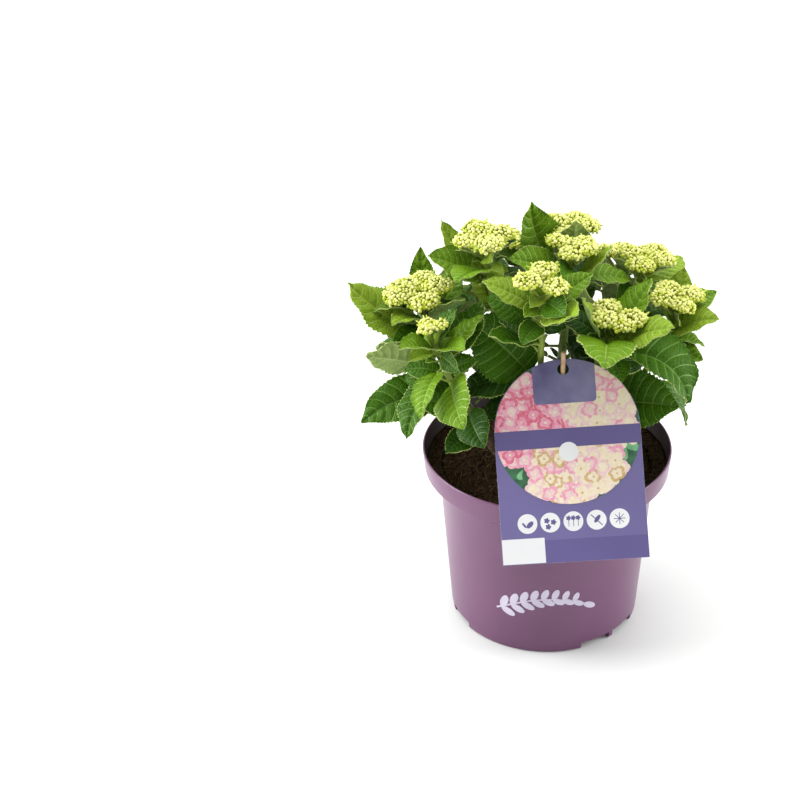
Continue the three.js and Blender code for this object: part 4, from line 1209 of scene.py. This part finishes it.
# %% Peat
PEAT = finish("peat", (0.010, 0.0048, 0.0018), (0.046, 0.023, 0.0075),
              0.95, 620, 1600, 0.9, 0.0008, specular=0.15)
FIBRE = finish("peat_fibre", (0.085, 0.046, 0.014), (0.170, 0.105, 0.040), 0.9, 400, 1200, 0.3, specular=0.2)
WALL_IN = POT["neck"] - POT["wall"] - 1
FLAT_END = WALL_IN - 2


def peat_height(radius):
    """The mean height of the filling: level in the middle, and sloping to the wall."""
    return mix(SOIL["top"], SOIL["edge"], max(0, (radius - SOIL["flat"]) / (FLAT_END - SOIL["flat"])))


profile = [(float(r), peat_height(r)) for r in np.linspace(0, FLAT_END, 60)]
profile += [(WALL_IN, SOIL["edge"] - 2), (POT["foot"] - POT["wall"] - 1, POT["floor"] + GAP)]
profile += [(0, POT["floor"] + GAP)]
bm = spun(profile, 150)


def lump(x, y):
    """How far the loose peat stands up or sinks at a place."""
    coarse = noise.fractal(Vector((x * 0.055, y * 0.055, 3)), 0.9, 2.1, 3)
    fine = noise.noise(Vector((x * 0.42, y * 0.42, 9)))
    return 1.1 * coarse + 0.75 * fine


for v in bm.verts:
    if v.co.z > SOIL["edge"] - 1 and v.co.xy.length < WALL_IN - 1:
        v.co.z += lump(v.co.x, v.co.y) * min(1, (WALL_IN - v.co.xy.length) / 3) - 0.3
finish_bmesh(bm, "peat_surface", [PEAT], ["peat"])

# %% Peat spilled on the ledge
LEDGE_IN, LEDGE_OUT = POT["neck"] - POT["wall"] - 0.4, POT["lip_under"] - POT["wall"] - 1.1
LEDGE_LOW, LEDGE_HIGH = neck + 2.2, neck + 5.4


def ledge_height(radius):
    return mix(LEDGE_LOW, LEDGE_HIGH, (radius - LEDGE_IN) / (LEDGE_OUT - LEDGE_IN))


spill = [(LEDGE_IN, LEDGE_LOW - 0.6), (LEDGE_IN, LEDGE_LOW)]
spill += [(float(r), ledge_height(r)) for r in np.linspace(LEDGE_IN, LEDGE_OUT, 12)[1:]]
spill += [(LEDGE_OUT, LEDGE_HIGH - 2)]
bm = spun(spill + spill[:1], 220)
for v in bm.verts:
    rising = (v.co.xy.length - LEDGE_IN) / (LEDGE_OUT - LEDGE_IN)
    if rising > 0.02 and v.co.z > LEDGE_LOW + 2.6 * rising:
        v.co.z += 1.1 * lump(v.co.x, v.co.y) * min(1, rising * 4)
finish_bmesh(bm, "peat_on_the_ledge", [PEAT])

# %% Crumbs and fibres
chance = np.random.default_rng(19)
ball = bmesh.new()
bmesh.ops.create_icosphere(ball, subdivisions=1, radius=1)
lump_points = np.array([v.co for v in ball.verts])
lump_faces = np.array([[v.index for v in f.verts] for f in ball.faces])
ball.free()


def on_peat():
    """A random place on the peat or on the ledge."""
    radius, turn = (LEDGE_OUT - 1.5) * math.sqrt(chance.uniform(0, 1)), chance.uniform(0, 2 * math.pi)
    x, y = radius * math.cos(turn), radius * math.sin(turn)
    height = ledge_height(radius) if radius > LEDGE_IN else peat_height(radius)
    return np.array([x, y, height - 0.3 + lump(x, y)])


CRUMBS, FIBRES = 3600, 520
crumbs = Heap()
for _ in range(CRUMBS):
    size = chance.uniform(0.45, 1.25) + 1.4 * chance.uniform(0, 1) ** 6
    shape = lump_points * chance.uniform(0.65, 1.25, lump_points.shape) * size * (1, 1, 0.8)
    crumbs.add(shape + on_peat(), triangles=lump_faces)
for _ in range(FIBRES):
    start, turn = on_peat() + (0, 0, 0.8), chance.uniform(0, 2 * math.pi)
    length, curl = chance.uniform(3, 10), chance.uniform(-2.6, 2.6)
    share = np.linspace(0, 1, 8)
    heading = turn + curl * share
    steps = np.stack([np.cos(heading), np.sin(heading), 0.2 * np.cos(share * 6)], -1) * length / 7
    centres = start + np.cumsum(steps, axis=0)
    centres = centres[np.hypot(centres[:, 0], centres[:, 1]) < LEDGE_OUT - 1]
    if len(centres) < 3:
        continue
    first, second = frame_round(unit(centres[-1] - centres[0]))
    radii = np.full(len(centres), chance.uniform(0.12, 0.26))
    points, quads, caps = tube_mesh(centres, radii, 3, first, second)
    crumbs.add(points, quads, caps, 1, 1)
crumbs.piece("peat_crumbs", [PEAT, FIBRE], "peat", smooth=False)

# %% [markdown]
# ## The picture card
# The card is a stiff printed plastic sheet with a round top. It leans on the lip and hangs on the stick.
# Its outline is extruded to its thickness and its edge is rounded with a bevel.
# The print is generic: a round window of florets, plain bands, a blank disc and five plain marks.
# Each patch of ink is a very thin plate on the card's face, so the picture is real geometry
# with a clean edge. Patches that overlap lie a hair's breadth apart, so none shades its neighbour.

# %% Inks
def ink_finish(name, tone, second, drift=12):
    """A smooth printed finish, a little glossy."""
    return finish(name, tone, second, 0.3, drift, 2500, 0.05, 0.0001)


VIOLET = ink_finish("violet_card", (0.128, 0.110, 0.262), (0.145, 0.122, 0.290))
DEEP_VIOLET = ink_finish("deep_violet_ink", (0.098, 0.078, 0.222), (0.110, 0.088, 0.245))
# The tab is printed dark violet; its drift towards a much lighter violet is a painted glossy sheen.
TAB_VIOLET_AND_SHEEN = ink_finish("tab_ink_and_painted_sheen", (0.072, 0.060, 0.180), (0.200, 0.190, 0.340), 30)
WHITE_INK = ink_finish("white_ink", (0.700, 0.705, 0.715), (0.760, 0.765, 0.775), 20)
INK_GREENS = [ink_finish("ink_leaf_dark", (0.020, 0.085, 0.040), (0.045, 0.150, 0.070), 200),
              ink_finish("ink_leaf_light", (0.110, 0.330, 0.150), (0.200, 0.460, 0.230), 200)]
INK_PINKS = [ink_finish("ink_rose", (0.600, 0.100, 0.180), (0.720, 0.200, 0.290), 450),
             ink_finish("ink_pink", (0.700, 0.250, 0.370), (0.780, 0.400, 0.500), 450),
             ink_finish("ink_blush", (0.720, 0.470, 0.480), (0.780, 0.600, 0.570), 450),
             ink_finish("ink_cream", (0.740, 0.620, 0.420), (0.790, 0.700, 0.560), 450),
             ink_finish("ink_ochre", (0.500, 0.320, 0.130), (0.640, 0.460, 0.240), 450)]

# %% The card itself
CARD_FRAME = Matrix((card["across"], card["up"], card["face"])).transposed().to_4x4()
CARD_FRAME.translation = card["foot"]


def arch_outline(width, length, steps=72):
    """A rectangle with a half circle for its top."""
    half = width / 2
    turn = np.arange(1, steps) * math.pi / steps
    return [(-half, 0), (half, 0)] + [(half * math.cos(t), length - half + half * math.sin(t)) for t in turn]


def on_card(bm, name, materials, nodes=()):
    """Lay what is drawn flat on the card, and make it a piece."""
    bmesh.ops.recalc_face_normals(bm, faces=bm.faces)
    bmesh.ops.transform(bm, matrix=CARD_FRAME, verts=bm.verts)
    return finish_bmesh(bm, name, materials, nodes, smooth=False, outward=False)


def punch_hole(piece):
    """Cut the stick's hole through a piece of the card."""
    bm = bmesh.new()
    plate(bm, disc(0, CARD["length"] - CARD["hole_below_top"], card["radius"]), -2, 2)
    bmesh.ops.recalc_face_normals(bm, faces=bm.faces)
    bmesh.ops.transform(bm, matrix=CARD_FRAME, verts=bm.verts)
    cut(piece, as_cutter(bm))


bm = bmesh.new()
half = CARD["thick"] / 2
plate(bm, arch_outline(CARD["width"], CARD["length"]), -half, half)
rims = [e for e in bm.edges if abs(e.verts[0].co.z - e.verts[1].co.z) < 1e-6]
bmesh.ops.bevel(bm, geom=rims, offset=0.12, segments=2, profile=0.5, affect="EDGES", material=-1)
bm.normal_update()
for face in bm.faces:
    face.material_index = int(abs(face.normal.z) < 0.9)
punch_hole(on_card(bm, "card_sheet", [VIOLET, WHITE_INK], ["card"]))

# %% The picture window
WINDOW = (0, 93.5, 52.2)
INK_LOW, INK_HIGH = half - 0.02, half + 0.03
bm = bmesh.new()
plate(bm, disc(*WINDOW, steps=120), INK_LOW, INK_HIGH)
punch_hole(on_card(bm, "card_window", INK_GREENS))


def clipped(points, margin=0.15):
    """Draw the points that stick out of the window back to its edge."""
    x0, y0, reach = WINDOW[0], WINDOW[1], WINDOW[2] - margin
    pulled = []
    for x, y in points:
        away = math.hypot(x - x0, y - y0)
        share = min(1, reach / away) if away else 1
        pulled.append((x0 + (x - x0) * share, y0 + (y - y0) * share))
    return pulled


def in_window(x, y, margin):
    return math.hypot(x - WINDOW[0], y - WINDOW[1]) < WINDOW[2] - margin


# %% Printed leaves
LEAVES, LEAF_STEP = 110, 0.0004
CLEAR_OF_HOLE = 20
chance = np.random.default_rng(7)
bm = bmesh.new()
heap_height = half + 0.05
for _ in range(LEAVES):
    x, y = chance.uniform(-50, 50), WINDOW[1] + chance.uniform(-50, 50)
    from_hole = math.hypot(x, y - (CARD["length"] - CARD["hole_below_top"]))
    if in_window(x, y, 3) and from_hole > CLEAR_OF_HOLE:
        tone = int(x > 0 or y > 96 or chance.uniform() < 0.3)
        heap_height += LEAF_STEP
        plate(bm, clipped(petal(x, y, chance.uniform(0, 6.28), 15, 7, 14)), INK_LOW, heap_height, tone)
on_card(bm, "card_leaves", INK_GREENS)

# %% Printed florets
HEADS = [(-27, 103, 35, (0, 0, 1, 1, 1)), (30, 108, 30, (1, 2, 2, 3)), (5, 62, 33, (1, 2, 2, 3, 3, 4))]
FLORETS_PER_AREA = 0.11
INK_STEP = 0.00025
CREAM, OCHRE = 3, 4


def floret(bm, x, y, inks, low):
    """Four petals in two tones and a small eye, each layer a step above the last."""
    start = chance.uniform(0, 1.57)
    tone = int(chance.choice(inks))
    lighter = min(tone + 1, CREAM) if tone < OCHRE else CREAM
    for quarter in range(4):
        heading, size = start + quarter * math.pi / 2 + chance.uniform(-0.25, 0.25), chance.uniform(5.2, 7.2)
        for layer, shade, share in ((0, tone, 1), (2, lighter, 0.62)):
            shape = clipped(petal(x, y, heading, size * share, size * 1.05 * share, 10))
            plate(bm, shape, INK_LOW, low + INK_STEP * (layer + quarter % 2), shade)
    plate(bm, clipped(disc(x, y, 0.9, 8)), INK_LOW, low + INK_STEP * 4, CREAM if tone < CREAM else OCHRE)


bm = bmesh.new()
for x0, y0, radius, inks in HEADS:
    count = int(radius * radius * FLORETS_PER_AREA)
    for k in chance.permutation(count):
        away, turn = radius * math.sqrt((k + 0.5) / count), k * GOLDEN
        x, y = x0 + away * math.cos(turn) + chance.uniform(-1, 1), y0 + away * math.sin(turn) * 0.92
        if in_window(x, y, 1.5) and not (abs(x) < 19 and y > 117):
            floret(bm, x, y, inks, heap_height)
            heap_height += INK_STEP * 5
print("printed florets reach", round(heap_height - half, 3), "mm above the card")
on_card(bm, "card_florets", INK_PINKS)

# %% Band and strip
PRINT_HALF = CARD["width"] / 2 - 0.15
top = heap_height + 0.03
bm = bmesh.new()
plate(bm, rectangle(-PRINT_HALF, 82.5, PRINT_HALF, 96), INK_LOW, top)
plate(bm, rectangle(-PRINT_HALF, 0.2, PRINT_HALF, 16.5), INK_LOW, INK_HIGH)
on_card(bm, "card_band", [DEEP_VIOLET])

# %% The tab round the hole
def tab_outline(wide, foot, corner=3, steps=7):
    """Straight sides, two round corners below, and the card's own round top above."""
    quarter = [math.pi / 2 * k / (steps - 1) for k in range(steps)]
    right = [(wide - corner + corner * math.sin(t), foot + corner - corner * math.cos(t)) for t in quarter]
    side = math.acos(wide / PRINT_HALF)
    middle = CARD["length"] - CARD["width"] / 2
    arc = [(PRINT_HALF * math.cos(t), middle + PRINT_HALF * math.sin(t))
           for t in np.linspace(side, math.pi - side, 40)]
    return [(-x, y) for x, y in reversed(right)] + right + arc


bm = bmesh.new()
plate(bm, tab_outline(22.5, 114), INK_LOW, top)
punch_hole(on_card(bm, "card_tab", [TAB_VIOLET_AND_SHEEN]))

# %% The drawings of the plain marks
def bloom(x, y, length, width):
    """Five small petals round a point."""
    return [petal(x, y, 1.26 * n, length, width) for n in range(5)]


def mark_shapes(x):
    """Two leaves, three blooms, a row of stalked blooms, a crossed leaf and a star, in this order."""
    yield [petal(x[0] - 0.6, 26, 0.75, 6.5, 3.6), petal(x[0] - 0.8, 26, 2.2, 5, 1.6)]
    yield [p for dx, dy in ((-2.4, 1.4), (2.3, 0.2), (-1.6, -3)) for p in bloom(x[1] + dx, 29 + dy, 2.2, 1.7)]
    row = [x[2] + dx for dx in (-3.4, 0, 3.4)]
    stalks = [bar(at, 30, -math.pi / 2, 4.6, 0.4) for at in row]
    yield [p for at in row for p in bloom(at, 31.4, 1.9, 1.4)] + stalks
    yield [bar(x[3] - 4, 33, -math.pi / 4, 11.3, 0.7), petal(x[3] - 1.6, 27, 0.9, 7, 3)]
    yield [bar(x[4], 29, n * math.pi / 4, 4.2, 0.5) for n in range(8)]


# %% Plain marks
MARKS_X, MARKS_Y, MARK_RADIUS = (-33, -16.6, 0, 16.6, 33), 29, 7.1
PATCH_TOP = half + 0.06
bm = bmesh.new()
plate(bm, disc(0, 79, 7), INK_LOW, top + 0.02)
plate(bm, rectangle(-52.2, 0.5, -21.5, 18.5), INK_LOW, PATCH_TOP)
for x, shapes in zip(MARKS_X, mark_shapes(MARKS_X)):
    plate(bm, disc(x, MARKS_Y, MARK_RADIUS), INK_LOW, PATCH_TOP)
    for number, outline_points in enumerate(shapes):
        plate(bm, outline_points, half, PATCH_TOP + 0.02 + 0.002 * number, 1)
on_card(bm, "card_marks", [WHITE_INK, DEEP_VIOLET])

# %% [markdown]
# ## The stick
# The card hangs on a thin wooden stick pushed into the peat. A cone operator makes the rod,
# and a bevel rounds its cut end.

# %% The stick
WOOD_TAN = finish("tan_wood", (0.480, 0.300, 0.170), (0.620, 0.420, 0.260), 0.75, 220, 800, 0.4)
bm = bmesh.new()
bmesh.ops.create_cone(bm, cap_ends=True, segments=24, radius1=1, radius2=1, depth=1)
for v in bm.verts:
    v.co.xy = v.co.xy * STICK["radius"] + card["hole"].xy
    v.co.z = STICK["top"] if v.co.z > 0 else SOIL["top"] + GAP
rims = [e for e in bm.edges if abs(e.verts[0].co.z - e.verts[1].co.z) < 1e-4 and e.verts[0].co.z > 200]
bmesh.ops.bevel(bm, geom=rims, offset=0.5, segments=3, profile=0.5, affect="EDGES", material=-1)
finish_bmesh(bm, "wooden_stick", [WOOD_TAN], ["card_stick"])

# %% [markdown]
# ## Floor and light
# The photograph is a bright studio cut-out on white with a faint soft shadow.
# A large white floor, an even white sky, a wide soft sun from above and two side lamps give that look.

# %% Floor
FLOOR_HALF = 30
bm = bmesh.new()
bmesh.ops.create_grid(bm, x_segments=2, y_segments=2, size=FLOOR_HALF)
mesh = bpy.data.meshes.new("floor")
bm.to_mesh(mesh)
bm.free()
floor = bpy.data.objects.new("floor", mesh)
bpy.context.collection.objects.link(floor)
white = bpy.data.materials.new("white_floor")
white.use_nodes = True
shader = white.node_tree.nodes["Principled BSDF"]
shader.inputs["Base Color"].default_value = (0.725, 0.74, 0.725, 1)
shader.inputs["Roughness"].default_value = 0.9
mesh.materials.append(white)

# %% Sky and lamps
scene = bpy.context.scene
scene.view_settings.view_transform = "Standard"
world = bpy.data.worlds.new("sky")
world.use_nodes = True
world.node_tree.nodes["Background"].inputs["Color"].default_value = (1, 1, 1, 1)
world.node_tree.nodes["Background"].inputs["Strength"].default_value = 0.7
scene.world = world


def aim(thing, place, target=(0, 0, 0.18)):
    """Link a lamp at a place and turn it to the plant."""
    thing.location = place
    thing.rotation_euler = (Vector(target) - Vector(place)).to_track_quat("-Z", "Y").to_euler()
    bpy.context.collection.objects.link(thing)


def soft_lamp(name, place, size, power):
    lamp = bpy.data.lights.new(name, "AREA")
    lamp.energy, lamp.size = power, size
    aim(bpy.data.objects.new(name, lamp), place)


sun = bpy.data.lights.new("overhead_lamp", "SUN")
sun.energy, sun.angle = 2.5, math.radians(70)
aim(bpy.data.objects.new("overhead_lamp", sun), (-0.22, 0.36, 1.4))
soft_lamp("left_lamp", (-1.5, 0.0, 0.7), 0.9, 30)
soft_lamp("right_lamp", (1.5, 0.1, 0.7), 0.9, 19)
print("a soft sun, two side lamps and a white sky")
